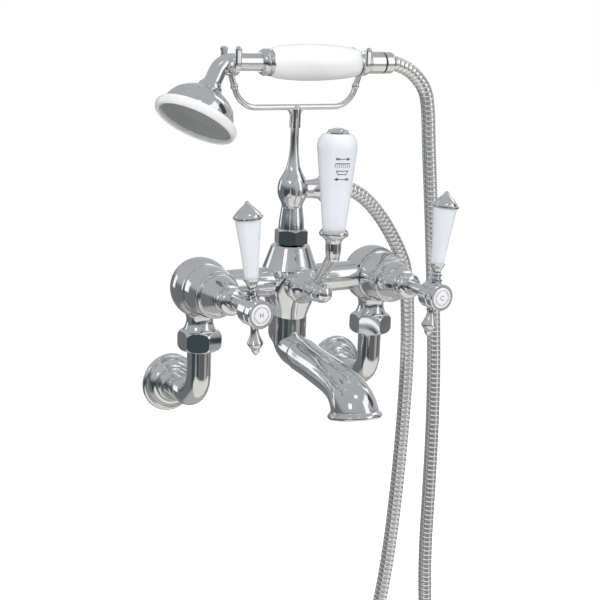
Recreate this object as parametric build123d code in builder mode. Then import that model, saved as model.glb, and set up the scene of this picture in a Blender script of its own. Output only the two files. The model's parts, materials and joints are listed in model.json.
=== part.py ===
from build123d import *
import math
import os

# Traditional wall mounted bath and shower mixer, in millimetres.
# The origin is midway between the two wall inlets, on the wall. +X is right, +Y goes into the wall, +Z is up.
# Heights named here are above the axis of the cross bar, and distances out are from the body's centre plane.

# Main dimensions
INLET_SPACING = 180.0
STAND_OFF = 63.0  # wall to the centre plane of the body
BODY_RISE = 103.0  # wall inlets to the axis of the cross bar
RUN_GAP = 0.05  # radial clearance of a turning fit
SLIP_GAP = 0.1  # clearance of pieces that are slid or screwed together
REST_GAP = 0.3  # clearance between resting pieces of different bodies

# Elbows, wall flanges and unions
PIPE_R = 11.0
PIPE_BORE_R = 7.5
ELBOW_BEND_R = 24.0
INLET_THREAD_R = 10.48
INLET_THREAD_LENGTH = 14.0
FLANGE_R = 27.4
FLANGE_RIM = 4.6
FLANGE_STEP_R = 22.4
FLANGE_DOME = 11.5
FLANGE_COLLAR_R = 14.4
FLANGE_DEPTH = 17.5
FLANGE_WALL = 1.6
NUT_FLATS = 34.2
NUT_DROP = 56.7  # from the cross bar down to the foot of the nut
NUT_HEIGHT = 18.5
NUT_TURN_RIGHT = -4.4  # how the right nut stands, degrees
NUT_DOME = 5.0
NUT_END_R = 15.6
NUT_SHOULDER = 5.2
ELBOW_COLLAR_R = 12.8
ELBOW_COLLAR = 4.0
UNION_WASHER = 2.0
TAIL_THREAD_R = 13.0
NECK_WAIST_R = 12.1

# Body
CROSS_R = 13.5
CROSS_BORE_R = 8.0
BULB_R = 27.0
VALVE_BOSS_R = 24.2
VALVE_BOSS = 14.0
CHAMBER_R = 12.0
CHAMBER_BACK = 14.0
BELL_TOP_R = 17.8
BELL_TOP = 33.2
BELL_BEVEL = 1.1
BELL_RIM_R = 25.0
BELL_RIM = 12.5
BOWL_R = 25.4
BOWL_FOOT_R = 16.0
WATERWAY_R = 7.0
SHEATH_R = 17.6
SHEATH_SHIFT = 0.8  # the outlet sits this far behind the riser
SHEATH_TIP = 64.0  # below the cross bar, at the front
SHEATH_BACK = 43.5  # below the cross bar, at the back
SHEATH_TOP = 24.0  # below the cross bar
SPOUT_SOCKET = 40.0  # below the cross bar
BOSS_R = 16.5
BOSS = 26.5

# Side valves
BONNET_R = 23.2
BONNET_RING_R = 20.7
BONNET_RING = 34.6
BONNET_RING_HALF = 2.4
BONNET_STEP = 2.3  # from the ring's crest down to the cup
BONNET_CUP_R = 12.3
BONNET_CUP = 52.4
BONNET_BEAD_R = 13.3
BONNET_BEAD = 2.8
BONNET_NECK_R = 9.0
BONNET_NECK = 57.0
BONNET_COLLAR_R = 12.2
BONNET_COLLAR = 61.6
BONNET_END = 66.0
BONNET_WALL = 2.4
CARTRIDGE_NECK_R = 8.0
CARTRIDGE_NECK = 30.0
SPINDLE_R = 3.6
SPINDLE_BACK = -2.0
HUB_R = 12.0
HUB_BACK = 92.0
HUB_FRONT = 113.2
HUB_GROOVE = 8.0  # behind the front face
HUB_BORE_END = 6.0  # behind the front face
SHANK_R = 5.0
SHANK_END_R = 6.2
SHANK_BEAD_R = 7.6
DISC_R = 9.0
DISC_DEPTH = 2.2
DISC_CROWN = 0.8

# Side levers, heights along the lever from the axis of its hub
LEVER_LEAN = 5.4  # outward, degrees
LEVER_OUT = 99.5
NECK_BASE_R = 5.8
NECK_BEAD_R = 6.4
NECK_THIN_R = 4.1
CUP_R = 7.2
CUP_SEAT = 26.2
CUP_LIP = 2.2
GRIP_FOOT_R = 5.8
GRIP_HEAD_R = 10.8
GRIP_LENGTH = 52.0
ROD_R = 2.1
ROD_END = 18.0
CAP_R = 12.5
CAP_HEIGHT = 14.6
FINIAL_R = 6.9
FINIAL_NECK_R = 3.3
FINIAL_LENGTH = 25.4  # below the hub's surface
SPIGOT_R = 2.7
SPIGOT_END = 4.6

# Diverter
DIVERTER_CHAMBER_R = 11.0
DIVERTER_CHAMBER_BACK = 10.0
DIVERTER_BONNET_R = 15.6
DIVERTER_BONNET_END = 45.0
DIVERTER_NECK_R = 7.4
DIVERTER_HOLLOW_END = 35.0
DIVERTER_SPINDLE_END = 61.0
DIVERTER_BALL_R = 8.9
DIVERTER_BALL_END = 67.6
DIVERTER_HUB_R = 9.6
ARM_R = 4.4
ARM_KNEE_R = 6.0
ARM_FOOT = 48.6
ARM_FOOT_RISE = 6.8
ARM_OUT = 74.0
ARM_KNEE = 35.0
ARM_SOCKET = 8.0
STEM_R = 6.9
STEM_FOOT = 39.0
CUP_FLARE = 6.5
DIVERTER_CUP_R = 12.8
DIVERTER_SEAT = 54.0
DIVERTER_LIP = 4.6
DIVERTER_GRIP_FOOT_R = 9.5
DIVERTER_GRIP_R = 17.4
DIVERTER_GRIP_LENGTH = 88.0
DIVERTER_SHOULDER = 12.0
DIVERTER_ROD_END = 44.0
ROSETTE_R = 9.4
ROSETTE_HEIGHT = 4.6
ROSETTE_BEADS = 12
ROSETTE_BEAD_R = 1.3

# Riser
RISER_NUT_FLATS = 26.9
RISER_NUT_HEIGHT = 14.8
RISER_NUT_TURN = 14.3  # degrees about the riser
RISER_NUT_END_R = 11.9
RISER_WASHER = 1.0  # let into the top of the body
RISER_WASHER_R = 11.4
RISER_TAIL_R = 9.5
RISER_TAIL = 8.0  # length inside the body
RISER_FOOT_R = 11.8
RISER_WAIST_R = 9.4
RISER_BULB_R = 13.8
RISER_BULB = 83.2
RISER_STEM_R = 3.8
RISER_TOP = 139.0
RISER_BORE_R = 5.0
OUTLET_R = 8.4
OUTLET_LIP_R = 10.1
OUTLET_END = 29.4
HOSE_THREAD_R = 10.48
HOSE_THREAD_LENGTH = 7.0

# Cradle
SLEEVE_R = 5.0
SLEEVE_SPIGOT_R = 2.8
SLEEVE_SPIGOT = 12.0
CRADLE_BAR = 157.2
CRADLE_BAR_R = 2.6
CRADLE_CORNER = 10.0  # from the fork in to the bar's corner
CRADLE_BEND_R = 22.0
CRADLE_WEB = 9.0
CRADLE_BEAD_R = 3.5
CRADLE_BEAD_PLACE = 0.07  # share of the bar's length from each end
FORK_HALF = 13.75
FORK_BAND = 6.0
FORK_THICK = 3.6
FORK_CORNER_R = 10.0
FORK_TOP = 208.0
FORK_BALL_R = 2.6
FORK_PIN_R = 3.4
FORK_PIN = 8.0

# Handset, distances along it from the riser
HANDSET_RISE = 196.4
TUBE_R = 7.6
TUBE_BORE_R = 4.5
CORE_R = 5.8
NECK_START = 1.2  # from the fork in to where the neck begins to bend
NECK_BEND_R = 18.0
NECK_TURN = 59.6
NECK_STRAIGHT = 16.8
HANDSET_ROLL = 13.6  # the head hangs this far forward of straight down
FERRULE_R = 11.8
FERRULE = 10.0
GRIP_START = 27.5
HANDLE_END_R = 12.1
HANDLE_MID_R = 16.4
HANDLE_LENGTH = 89.0
COLLAR_R = 10.8
COLLAR_GROOVE_R = 7.7
COLLAR_LIP = 0.7
COLLAR_LIP_R = 9.5
COLLAR_REAR = 7.5  # from the middle of the fork to the collar's end
TAIL_R = 10.0
TAIL_LENGTH = 15.2
TAIL_THREAD_END_R = 8.4
TAIL_SEAL = 1.6
TAIL_SEAL_R = 9.5

# Head, depths back from its face
HEAD_NUT_R = 10.8
HEAD_NUT = 6.5
BELL_HEIGHT = 32.0
BELL_R = 32.6
BELL_WALL = 1.6
BELL_SKIRT = 3.0
HEAD_RING_WIDTH = 4.7
HEAD_RING_BACK = 6.6
HEAD_RING_FRONT = -1.8
ROSE_THICK = 1.4
ROSE_HOLE_R = 0.75
ROSE_RINGS = 5
ROSE_PITCH = 5.6
ROSE_FIRST = 6

# Hose and its nuts
HOSE_R = 6.5
HOSE_ROOT_R = 5.7
HOSE_BORE_R = 4.0
HOSE_RIBS = 200
HOSE_NUT_R = 12.2
HOSE_NUT_LENGTH = 14.6
UPPER_NUT_R = 9.8
UPPER_NUT_LENGTH = 10.8
HOSE_NUT_END_R = 7.4
HOSE_WASHER = 1.5

# Hose route in the plane of the riser, as (x, height above the cross bar), from the outlet to the handset
HOSE_ROUTE = (
    (67.6, 83.2),
    (88.3, 71.2),
    (103.1, 47.5),
    (118.0, 23.2),
    (127.3, 2.5),
    (133.3, -39.5),
    (135.0, -95.0),
    (133.8, -160.0),
    (130.5, -228.0),
    (125.3, -293.0),
    (116.5, -350.0),
    (103.0, -404.0),
    (93.5, -455.0),
    (92.0, -509.0),
    (121.0, -538.0),
    (161.0, -538.5),
    (190.0, -509.0),
    (188.5, -455.0),
    (180.5, -404.0),
    (173.6, -350.0),
    (170.3, -293.0),
    (170.6, -228.0),
    (169.4, -160.0),
    (167.2, -95.0),
    (162.4, -30.0),
    (157.5, 30.0),
    (155.5, 84.0),
    (157.6, 133.0),
    (157.2, 163.3),
    (145.0, 184.4),
    (124.2, 196.4),
)

# Spout: straight down from the outlet, round a bend, out at a slope, then a flared mouth
SPOUT_R = 15.8
SPOUT_WALL = 2.2
SPIGOT_FOOT = 48.0  # below the cross bar
SPOUT_SLOPE = 6.6  # degrees below level
SPOUT_KNEE = 60.6  # below the cross bar, where the centre lines cross
SPOUT_BEND_R = 18.0
SPOUT_TUBE_R = 14.9
SEAL_GROOVE_R = 14.2
SEAL_TOP = 43.6  # below the cross bar
SEAL_HEIGHT = 2.4
SPOUT_START = 24.0  # out to where the tube begins to widen
# distance out, height, degrees below level and radius of each section from there
SPOUT_SECTIONS = (
    (44.0, -65.8, SPOUT_SLOPE, 15.1),
    (64.0, -68.1, SPOUT_SLOPE, 15.4),
    (84.0, -70.6, 8.5, 15.9),
    (99.0, -73.9, 22.0, 16.9),
    (111.0, -79.0, 46.0, 18.8),
    (118.6, -86.5, 70.0, 20.3),
    (121.2, -95.8, 80.0, 21.2),
)
LIP_R = 23.7
LIP = 7.0

half_spacing = INLET_SPACING / 2
body_centre = Vector(0, -STAND_OFF, BODY_RISE)
os.makedirs("parts", exist_ok=True)


def axis_frame(origin, along, side):
    """A drawing plane whose Y runs along the axis of a turned piece and whose X is its radius."""
    return Plane(origin=origin, x_dir=side, z_dir=Vector(side).cross(Vector(along)))


def turn(frame, *runs, mode=Mode.ADD):
    """Turns an outline of (radius, distance) points about the frame's axis.

    The runs are drawn end to end: a list is straight lines, a tuple is one smooth curve.
    """
    with BuildSketch(frame) as drawn:
        with BuildLine():
            last = None
            for run in runs:
                points = list(run) if last is None else [last, *run]
                if isinstance(run, tuple):
                    Spline(*points)
                else:
                    Polyline(*points)
                last = points[-1]
            Line(last, runs[0][0])
        make_face()
    return revolve(drawn.sketch, axis=Axis(frame.origin, frame.y_dir), mode=mode)


def rod(frame, radius, start, end, mode=Mode.ADD):
    """A plain cylinder along the frame's axis."""
    return turn(frame, [(0, start), (radius, start), (radius, end), (0, end)], mode=mode)


def ring(frame, inner, outer, start, end):
    """A plain tube along the frame's axis."""
    return turn(frame, [(inner, start), (outer, start), (outer, end), (inner, end)])


def save(piece, name):
    piece.part.label = name
    export_step(piece.part, f"parts/{name}.step")


upright = axis_frame(body_centre, (0, 0, 1), (1, 0, 0))
outward = axis_frame(body_centre, (0, -1, 0), (1, 0, 0))
across = axis_frame(body_centre, (1, 0, 0), (0, 1, 0))
outlet_centre = body_centre + Vector(0, SHEATH_SHIFT, 0)
outlet = axis_frame(outlet_centre, (0, 0, 1), (1, 0, 0))
nut_bottom = BODY_RISE - NUT_DROP
nut_top = nut_bottom + NUT_HEIGHT
collar_foot = nut_bottom + NUT_SHOULDER
collar_top = collar_foot + ELBOW_COLLAR
thread_end = collar_top + UNION_WASHER
nut_corner_r = NUT_FLATS / 2 / math.cos(math.radians(30))
bonnet_hole_r = SPINDLE_R + RUN_GAP
lever_height = CUP_SEAT + GRIP_LENGTH
handle_end = HANDLE_LENGTH - GRIP_START
fork_out = handle_end + COLLAR_LIP + REST_GAP + FORK_BAND / 2
collar_end = fork_out + COLLAR_REAR

# Centre line of the spout, down from its seat and round the bend
spout_top = outlet_centre + Vector(0, 0, -SPOUT_SOCKET - SLIP_GAP)
spout_knee = outlet_centre + Vector(0, 0, -SPOUT_KNEE)
start_height = -SPOUT_KNEE - (SPOUT_START + SHEATH_SHIFT) * math.tan(math.radians(SPOUT_SLOPE))
with BuildLine() as spout_line:
    FilletPolyline(
        spout_top, spout_knee, body_centre + Vector(0, -SPOUT_START, start_height), radius=SPOUT_BEND_R
    )

# Body casting, hollow from the necks to the riser and the outlet
with BuildPart() as mixer_body:
    rod(outlet, SHEATH_R, -SHEATH_TIP, -SHEATH_TOP)
    # the outlet's collar is cut on a slant, low at the front
    with BuildSketch(Plane.YZ.offset(-2 * SHEATH_R)):
        with Locations((outlet_centre.Y, outlet_centre.Z)):
            Polygon(
                (-SHEATH_R, -SHEATH_TIP),
                (SHEATH_R, -SHEATH_BACK),
                (2 * SHEATH_R, -SHEATH_BACK),
                (2 * SHEATH_R, -2 * SHEATH_TIP),
                (-2 * SHEATH_R, -2 * SHEATH_TIP),
                (-2 * SHEATH_R, -SHEATH_TIP),
                align=None,
            )
    extrude(amount=4 * SHEATH_R, mode=Mode.SUBTRACT)
    rod(across, CROSS_R, -half_spacing, half_spacing)
    turn(
        upright,
        [(0, BELL_TOP), (BELL_TOP_R - BELL_BEVEL, BELL_TOP), (BELL_TOP_R, BELL_TOP - BELL_BEVEL)],
        [(BELL_RIM_R, BELL_RIM)],
        (
            (BOWL_R, 0.3 * BELL_RIM),
            (BOWL_R - 1.0, -0.24 * SPOUT_SOCKET),
            (0.5 * (BOWL_R + SHEATH_R), -0.5 * SPOUT_SOCKET),
            (SHEATH_R, -0.76 * SPOUT_SOCKET),
            (BOWL_FOOT_R, -SPOUT_SOCKET),
        ),
        [(0, -SPOUT_SOCKET)],
    )
    rod(outward, BOSS_R, 0, BOSS)
    with Locations(*((x, -STAND_OFF, BODY_RISE) for x in (-half_spacing, half_spacing))):
        Sphere(BULB_R)
    for x in (-half_spacing, half_spacing):
        neck = axis_frame((x, -STAND_OFF, 0), (0, 0, 1), (1, 0, 0))
        neck_length = BODY_RISE - nut_top
        turn(
            neck,
            [(0, BODY_RISE), (0.72 * BULB_R, BODY_RISE - 0.49 * neck_length)],
            (
                (NECK_WAIST_R + 1.3, BODY_RISE - 0.62 * neck_length),
                (NECK_WAIST_R, BODY_RISE - 0.76 * neck_length),
                (NECK_WAIST_R + 1.2, BODY_RISE - 0.91 * neck_length),
                (NUT_END_R - 0.4, nut_top),
            ),
            [(TAIL_THREAD_R, nut_top), (TAIL_THREAD_R, thread_end), (0, thread_end)],
        )
        rod(neck, PIPE_BORE_R, thread_end, BODY_RISE, mode=Mode.SUBTRACT)
        valve = axis_frame((x, -STAND_OFF, BODY_RISE), (0, -1, 0), (1, 0, 0))
        rod(valve, VALVE_BOSS_R, 0, VALVE_BOSS)
        rod(valve, BULB_R + VALVE_BOSS, VALVE_BOSS, BULB_R + VALVE_BOSS, mode=Mode.SUBTRACT)
        rod(valve, CHAMBER_R, -CHAMBER_BACK, VALVE_BOSS, mode=Mode.SUBTRACT)
    rod(across, CROSS_BORE_R, -half_spacing, half_spacing, mode=Mode.SUBTRACT)
    rod(outward, DIVERTER_CHAMBER_R, -DIVERTER_CHAMBER_BACK, BOSS, mode=Mode.SUBTRACT)
    rod(upright, WATERWAY_R, -SPOUT_SOCKET, BELL_TOP, mode=Mode.SUBTRACT)
    rod(upright, RISER_TAIL_R + SLIP_GAP, BELL_TOP - RISER_TAIL, BELL_TOP, mode=Mode.SUBTRACT)
    rod(upright, RISER_WASHER_R + SLIP_GAP, BELL_TOP - RISER_WASHER, BELL_TOP, mode=Mode.SUBTRACT)
    rod(outlet, SPOUT_R + SLIP_GAP, -SHEATH_TIP, -SPOUT_SOCKET, mode=Mode.SUBTRACT)
    # the spout's bend leaves through the front of the collar
    with BuildSketch(Plane(origin=spout_top, z_dir=(0, 0, -1))):
        Circle(SPOUT_TUBE_R + SLIP_GAP)
    sweep(path=spout_line.wires()[0], mode=Mode.SUBTRACT)
save(mixer_body, "mixer_body")

# Wall connections: flange, elbow, union nut and its washer on each side
for side, x in (("left", -half_spacing), ("right", half_spacing)):
    inlet = axis_frame((x, 0, 0), (0, -1, 0), (1, 0, 0))
    riser_leg = axis_frame((x, -STAND_OFF, 0), (0, 0, 1), (1, 0, 0))

    with BuildPart() as wall_flange:
        bore_r = PIPE_R + SLIP_GAP
        turn(
            inlet,
            [(bore_r, 0), (FLANGE_R - 0.6, 0)],
            (
                (FLANGE_R, 0.4 * FLANGE_RIM),
                (FLANGE_R - 1.2, 0.9 * FLANGE_RIM),
                (FLANGE_STEP_R + 1, FLANGE_RIM),
            ),
            [(FLANGE_STEP_R, FLANGE_RIM), (FLANGE_STEP_R, FLANGE_RIM + 0.9)],
            (
                (0.93 * FLANGE_STEP_R, 0.72 * FLANGE_DOME),
                (0.5 * (FLANGE_STEP_R + FLANGE_COLLAR_R), 0.95 * FLANGE_DOME),
                (FLANGE_COLLAR_R + 0.8, FLANGE_DOME),
            ),
            [(FLANGE_COLLAR_R, FLANGE_DOME + 0.4)],
            (
                (FLANGE_COLLAR_R + 0.5, 0.5 * (FLANGE_DOME + FLANGE_DEPTH)),
                (FLANGE_COLLAR_R - 0.8, FLANGE_DEPTH),
            ),
            [(bore_r, FLANGE_DEPTH)],
        )
        # the rose is a spun shell, open at the wall
        turn(
            inlet,
            [
                (bore_r + FLANGE_WALL, 0),
                (FLANGE_R - 2 * FLANGE_WALL, 0),
                (FLANGE_STEP_R - FLANGE_WALL, FLANGE_RIM),
                (FLANGE_COLLAR_R, FLANGE_DOME - FLANGE_WALL),
                (bore_r + FLANGE_WALL, FLANGE_DOME - FLANGE_WALL),
            ],
            mode=Mode.SUBTRACT,
        )
    save(wall_flange, f"wall_flange_{side}")

    with BuildPart() as elbow:
        with BuildLine():
            FilletPolyline(
                (x, 0, 0), (x, -STAND_OFF, 0), (x, -STAND_OFF, collar_top), radius=ELBOW_BEND_R
            )
        with BuildSketch(Plane(origin=(x, 0, 0), z_dir=(0, -1, 0))):
            Circle(PIPE_R)
            Circle(PIPE_BORE_R, mode=Mode.SUBTRACT)
        sweep()
        ring(riser_leg, PIPE_R, ELBOW_COLLAR_R, collar_foot, collar_top)
        ring(inlet, PIPE_BORE_R, INLET_THREAD_R, -INLET_THREAD_LENGTH, 0)
    save(elbow, f"elbow_{side}")

    with BuildPart() as union_nut:
        with BuildSketch(Plane.XY.offset(nut_bottom)):
            with Locations((x, -STAND_OFF)):
                nut_turn = 30 + (NUT_TURN_RIGHT if side == "right" else 0)
                RegularPolygon(NUT_FLATS / 2, 6, major_radius=False, rotation=nut_turn)
        extrude(amount=NUT_HEIGHT)
        turn(
            riser_leg,
            [(0, nut_bottom), (NUT_END_R, nut_bottom)],
            ((nut_corner_r - 1.2, nut_bottom + 0.4 * NUT_DOME), (nut_corner_r, nut_bottom + NUT_DOME)),
            [(nut_corner_r, nut_top - NUT_DOME)],
            ((nut_corner_r - 1.2, nut_top - 0.4 * NUT_DOME), (NUT_END_R, nut_top)),
            [(0, nut_top)],
            mode=Mode.INTERSECT,
        )
        rod(riser_leg, PIPE_R + SLIP_GAP, nut_bottom, nut_top, mode=Mode.SUBTRACT)
        rod(riser_leg, TAIL_THREAD_R + SLIP_GAP, collar_foot, nut_top, mode=Mode.SUBTRACT)
    save(union_nut, f"union_nut_{side}")

with BuildPart() as union_washers:
    for x in (-half_spacing, half_spacing):
        riser_leg = axis_frame((x, -STAND_OFF, 0), (0, 0, 1), (1, 0, 0))
        ring(riser_leg, PIPE_BORE_R, ELBOW_COLLAR_R, collar_top, thread_end)
save(union_washers, "union_washers")

# Side valves and their levers
for side, x in (("left", -half_spacing), ("right", half_spacing)):
    outwards = math.copysign(1, x)
    valve = axis_frame((x, -STAND_OFF, BODY_RISE), (0, -1, 0), (1, 0, 0))
    lean = math.radians(LEVER_LEAN)
    up = Vector(outwards * math.sin(lean), 0, math.cos(lean))
    hub_centre = Vector(x, -STAND_OFF - LEVER_OUT, BODY_RISE)
    lever = axis_frame(hub_centre, up, (0, 1, 0))
    below = axis_frame(hub_centre, up * -1, (0, 1, 0))

    with BuildPart() as bonnet:
        ring_back = BONNET_RING - BONNET_RING_HALF
        ring_front = BONNET_RING + BONNET_RING_HALF
        step_r = BONNET_RING_R - BONNET_STEP
        bead_end = BONNET_CUP + BONNET_BEAD
        turn(
            valve,
            [(0, VALVE_BOSS), (BONNET_R, VALVE_BOSS)],
            (
                (0.5 * (BONNET_R + BONNET_RING_R) + 0.7, 0.5 * (VALVE_BOSS + ring_back)),
                (BONNET_RING_R, ring_back),
            ),
            [(BONNET_RING_R - 1.0, ring_back + 0.2)],
            (
                (BONNET_RING_R, BONNET_RING - 0.45 * BONNET_RING_HALF),
                (BONNET_RING_R - 0.1, BONNET_RING + 0.2 * BONNET_RING_HALF),
                (BONNET_RING_R - 0.7 * BONNET_STEP, ring_front),
            ),
            [(step_r, ring_front)],
            (
                (0.5 * (step_r + BONNET_CUP_R) + 0.7, 0.5 * (ring_front + BONNET_CUP)),
                (BONNET_CUP_R, BONNET_CUP),
            ),
            [(BONNET_BEAD_R - 0.6, BONNET_CUP + 0.1)],
            ((BONNET_BEAD_R, BONNET_CUP + 0.5 * BONNET_BEAD), (BONNET_BEAD_R - 0.7, bead_end)),
            [(BONNET_NECK_R + 0.8, bead_end + 0.4)],
            ((BONNET_NECK_R, BONNET_NECK), (BONNET_NECK_R + 0.6, BONNET_NECK + 1.4)),
            [(BONNET_COLLAR_R - 1.0, BONNET_COLLAR - 2.4)],
            (
                (BONNET_COLLAR_R, BONNET_COLLAR - 0.4),
                (BONNET_COLLAR_R - 1.5, BONNET_COLLAR + 2.4),
                (0.6 * BONNET_COLLAR_R, BONNET_END),
            ),
            [(0, BONNET_END)],
        )
        turn(
            valve,
            [
                (0, VALVE_BOSS),
                (BONNET_R - 1.7 * BONNET_WALL, VALVE_BOSS),
                (step_r - BONNET_WALL, ring_back),
                (BONNET_CUP_R - BONNET_WALL, BONNET_CUP - BONNET_WALL),
                (0, BONNET_CUP - BONNET_WALL),
            ],
            mode=Mode.SUBTRACT,
        )
        rod(valve, bonnet_hole_r, VALVE_BOSS, BONNET_END, mode=Mode.SUBTRACT)
    save(bonnet, f"bonnet_{side}")

    with BuildPart() as cartridge:
        rod(valve, CHAMBER_R - SLIP_GAP, SLIP_GAP - CHAMBER_BACK, VALVE_BOSS)
        rod(valve, CARTRIDGE_NECK_R, VALVE_BOSS, CARTRIDGE_NECK)
        rod(valve, bonnet_hole_r, SPINDLE_BACK - SLIP_GAP, CARTRIDGE_NECK, mode=Mode.SUBTRACT)
    save(cartridge, f"cartridge_{side}")

    with BuildPart() as spindle:
        rod(valve, SPINDLE_R, SPINDLE_BACK, HUB_FRONT - HUB_BORE_END)
    save(spindle, f"spindle_{side}")

    with BuildPart() as lever_hub:
        groove = HUB_FRONT - HUB_GROOVE
        seat = HUB_FRONT - DISC_DEPTH
        shank = BONNET_END + REST_GAP
        turn(
            valve,
            [
                (0, shank),
                (SHANK_R, shank),
                (SHANK_END_R, HUB_BACK - 2.6),
                (SHANK_BEAD_R, HUB_BACK - 2.0),
                (SHANK_BEAD_R, HUB_BACK),
                (HUB_R - 1.2, HUB_BACK),
                (HUB_R, HUB_BACK + 1.2),
                (HUB_R, groove - 1.2),
                (HUB_R - 0.8, groove - 0.5),
                (HUB_R - 0.8, groove + 0.5),
                (HUB_R, groove + 1.2),
                (HUB_R, HUB_FRONT - 0.8),
                (HUB_R - 0.8, HUB_FRONT),
                (DISC_R + SLIP_GAP, HUB_FRONT),
                (DISC_R + SLIP_GAP, seat),
                (0, seat),
            ],
        )
        rod(valve, bonnet_hole_r, shank, HUB_FRONT - HUB_BORE_END, mode=Mode.SUBTRACT)
        rod(lever, SPIGOT_R + SLIP_GAP, SPIGOT_END - SLIP_GAP, HUB_R, mode=Mode.SUBTRACT)
        rod(below, SPIGOT_R + SLIP_GAP, SPIGOT_END - SLIP_GAP, HUB_R, mode=Mode.SUBTRACT)
    save(lever_hub, f"lever_hub_{side}")

    with BuildPart() as index_disc:
        turn(
            valve,
            [(0, seat), (DISC_R, seat), (DISC_R, HUB_FRONT)],
            ((0.6 * DISC_R, HUB_FRONT + 0.7 * DISC_CROWN), (0, HUB_FRONT + DISC_CROWN)),
        )
    save(index_disc, f"index_disc_{side}")

    with BuildPart() as lever_neck:
        top = CUP_SEAT + CUP_LIP
        seat_r = GRIP_FOOT_R + SLIP_GAP
        neck_run = CUP_SEAT - HUB_R
        turn(
            lever,
            [
                (0, HUB_R - 3),
                (NECK_BASE_R, HUB_R - 3),
                (NECK_BASE_R, HUB_R + 0.06 * neck_run),
                (NECK_BEAD_R, HUB_R + 0.11 * neck_run),
                (NECK_BEAD_R, HUB_R + 0.18 * neck_run),
                (NECK_THIN_R + 0.7, HUB_R + 0.23 * neck_run),
                (NECK_THIN_R + 0.5, HUB_R + 0.36 * neck_run),
                (NECK_BEAD_R - 0.8, HUB_R + 0.42 * neck_run),
                (NECK_BEAD_R - 0.8, HUB_R + 0.49 * neck_run),
                (NECK_THIN_R + 0.2, HUB_R + 0.54 * neck_run),
            ],
            (
                (NECK_THIN_R, HUB_R + 0.65 * neck_run),
                (NECK_THIN_R + 0.3 * (CUP_R - NECK_THIN_R), CUP_SEAT - 0.14 * neck_run),
                (CUP_R - 0.7, CUP_SEAT + 0.2 * CUP_LIP),
                (CUP_R, top),
            ),
            [(CUP_R - 0.8, top), (seat_r, CUP_SEAT + 0.3 * CUP_LIP), (seat_r, CUP_SEAT), (0, CUP_SEAT)],
        )
        rod(valve, HUB_R + RUN_GAP, HUB_BACK, HUB_FRONT, mode=Mode.SUBTRACT)
        rod(lever, SPIGOT_R, SPIGOT_END, HUB_R + 1)
        rod(lever, ROD_R + SLIP_GAP, ROD_END - SLIP_GAP, CUP_SEAT, mode=Mode.SUBTRACT)
    save(lever_neck, f"lever_neck_{side}")

    with BuildPart() as lever_grip:
        flare = GRIP_HEAD_R - GRIP_FOOT_R
        turn(
            lever,
            [(0, CUP_SEAT), (GRIP_FOOT_R, CUP_SEAT)],
            (
                (GRIP_FOOT_R + 0.17 * flare, CUP_SEAT + 0.22 * GRIP_LENGTH),
                (GRIP_FOOT_R + 0.39 * flare, CUP_SEAT + 0.47 * GRIP_LENGTH),
                (GRIP_FOOT_R + 0.74 * flare, CUP_SEAT + 0.77 * GRIP_LENGTH),
                (GRIP_HEAD_R, lever_height),
            ),
            [(0, lever_height)],
        )
        rod(lever, ROD_R + SLIP_GAP, CUP_SEAT, lever_height, mode=Mode.SUBTRACT)
    save(lever_grip, f"lever_grip_{side}")

    with BuildPart() as lever_cap:
        turn(
            lever,
            [
                (0, lever_height),
                (CAP_R - 0.8, lever_height),
                (CAP_R, lever_height + 0.8),
                (CAP_R, lever_height + 1.8),
                (CAP_R - 1.2, lever_height + 2.6),
            ],
            (
                (0.8 * CAP_R, lever_height + 0.32 * CAP_HEIGHT),
                (0.63 * CAP_R, lever_height + 0.48 * CAP_HEIGHT),
                (0.38 * CAP_R, lever_height + 0.68 * CAP_HEIGHT),
                (0.2 * CAP_R, lever_height + 0.82 * CAP_HEIGHT),
            ),
            ((0.17 * CAP_R, lever_height + 0.9 * CAP_HEIGHT), (0.03 * CAP_R, lever_height + CAP_HEIGHT)),
            [(0, lever_height + CAP_HEIGHT)],
        )
        rod(lever, ROD_R, ROD_END, lever_height)
    save(lever_cap, f"lever_cap_{side}")

    with BuildPart() as lever_finial:
        tip = HUB_R + FINIAL_LENGTH
        turn(
            below,
            [(0, HUB_R - 3), (FINIAL_NECK_R + 0.6, HUB_R - 3), (FINIAL_NECK_R, HUB_R + 1.5)],
            (
                (FINIAL_NECK_R + 0.3, HUB_R + 0.22 * FINIAL_LENGTH),
                (0.75 * FINIAL_R, HUB_R + 0.42 * FINIAL_LENGTH),
                (FINIAL_R, HUB_R + 0.57 * FINIAL_LENGTH),
            ),
            [(FINIAL_R, HUB_R + 0.6 * FINIAL_LENGTH)],
            ((0.84 * FINIAL_R, HUB_R + 0.69 * FINIAL_LENGTH), (0.5 * FINIAL_R, HUB_R + 0.79 * FINIAL_LENGTH)),
            [(0.55 * FINIAL_R, HUB_R + 0.81 * FINIAL_LENGTH)],
            ((0.38 * FINIAL_R, HUB_R + 0.92 * FINIAL_LENGTH), (0.1 * FINIAL_R, tip)),
            [(0, tip)],
        )
        rod(valve, HUB_R + RUN_GAP, HUB_BACK, HUB_FRONT, mode=Mode.SUBTRACT)
        rod(below, SPIGOT_R, SPIGOT_END, HUB_R + 1)
    save(lever_finial, f"lever_finial_{side}")

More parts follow.
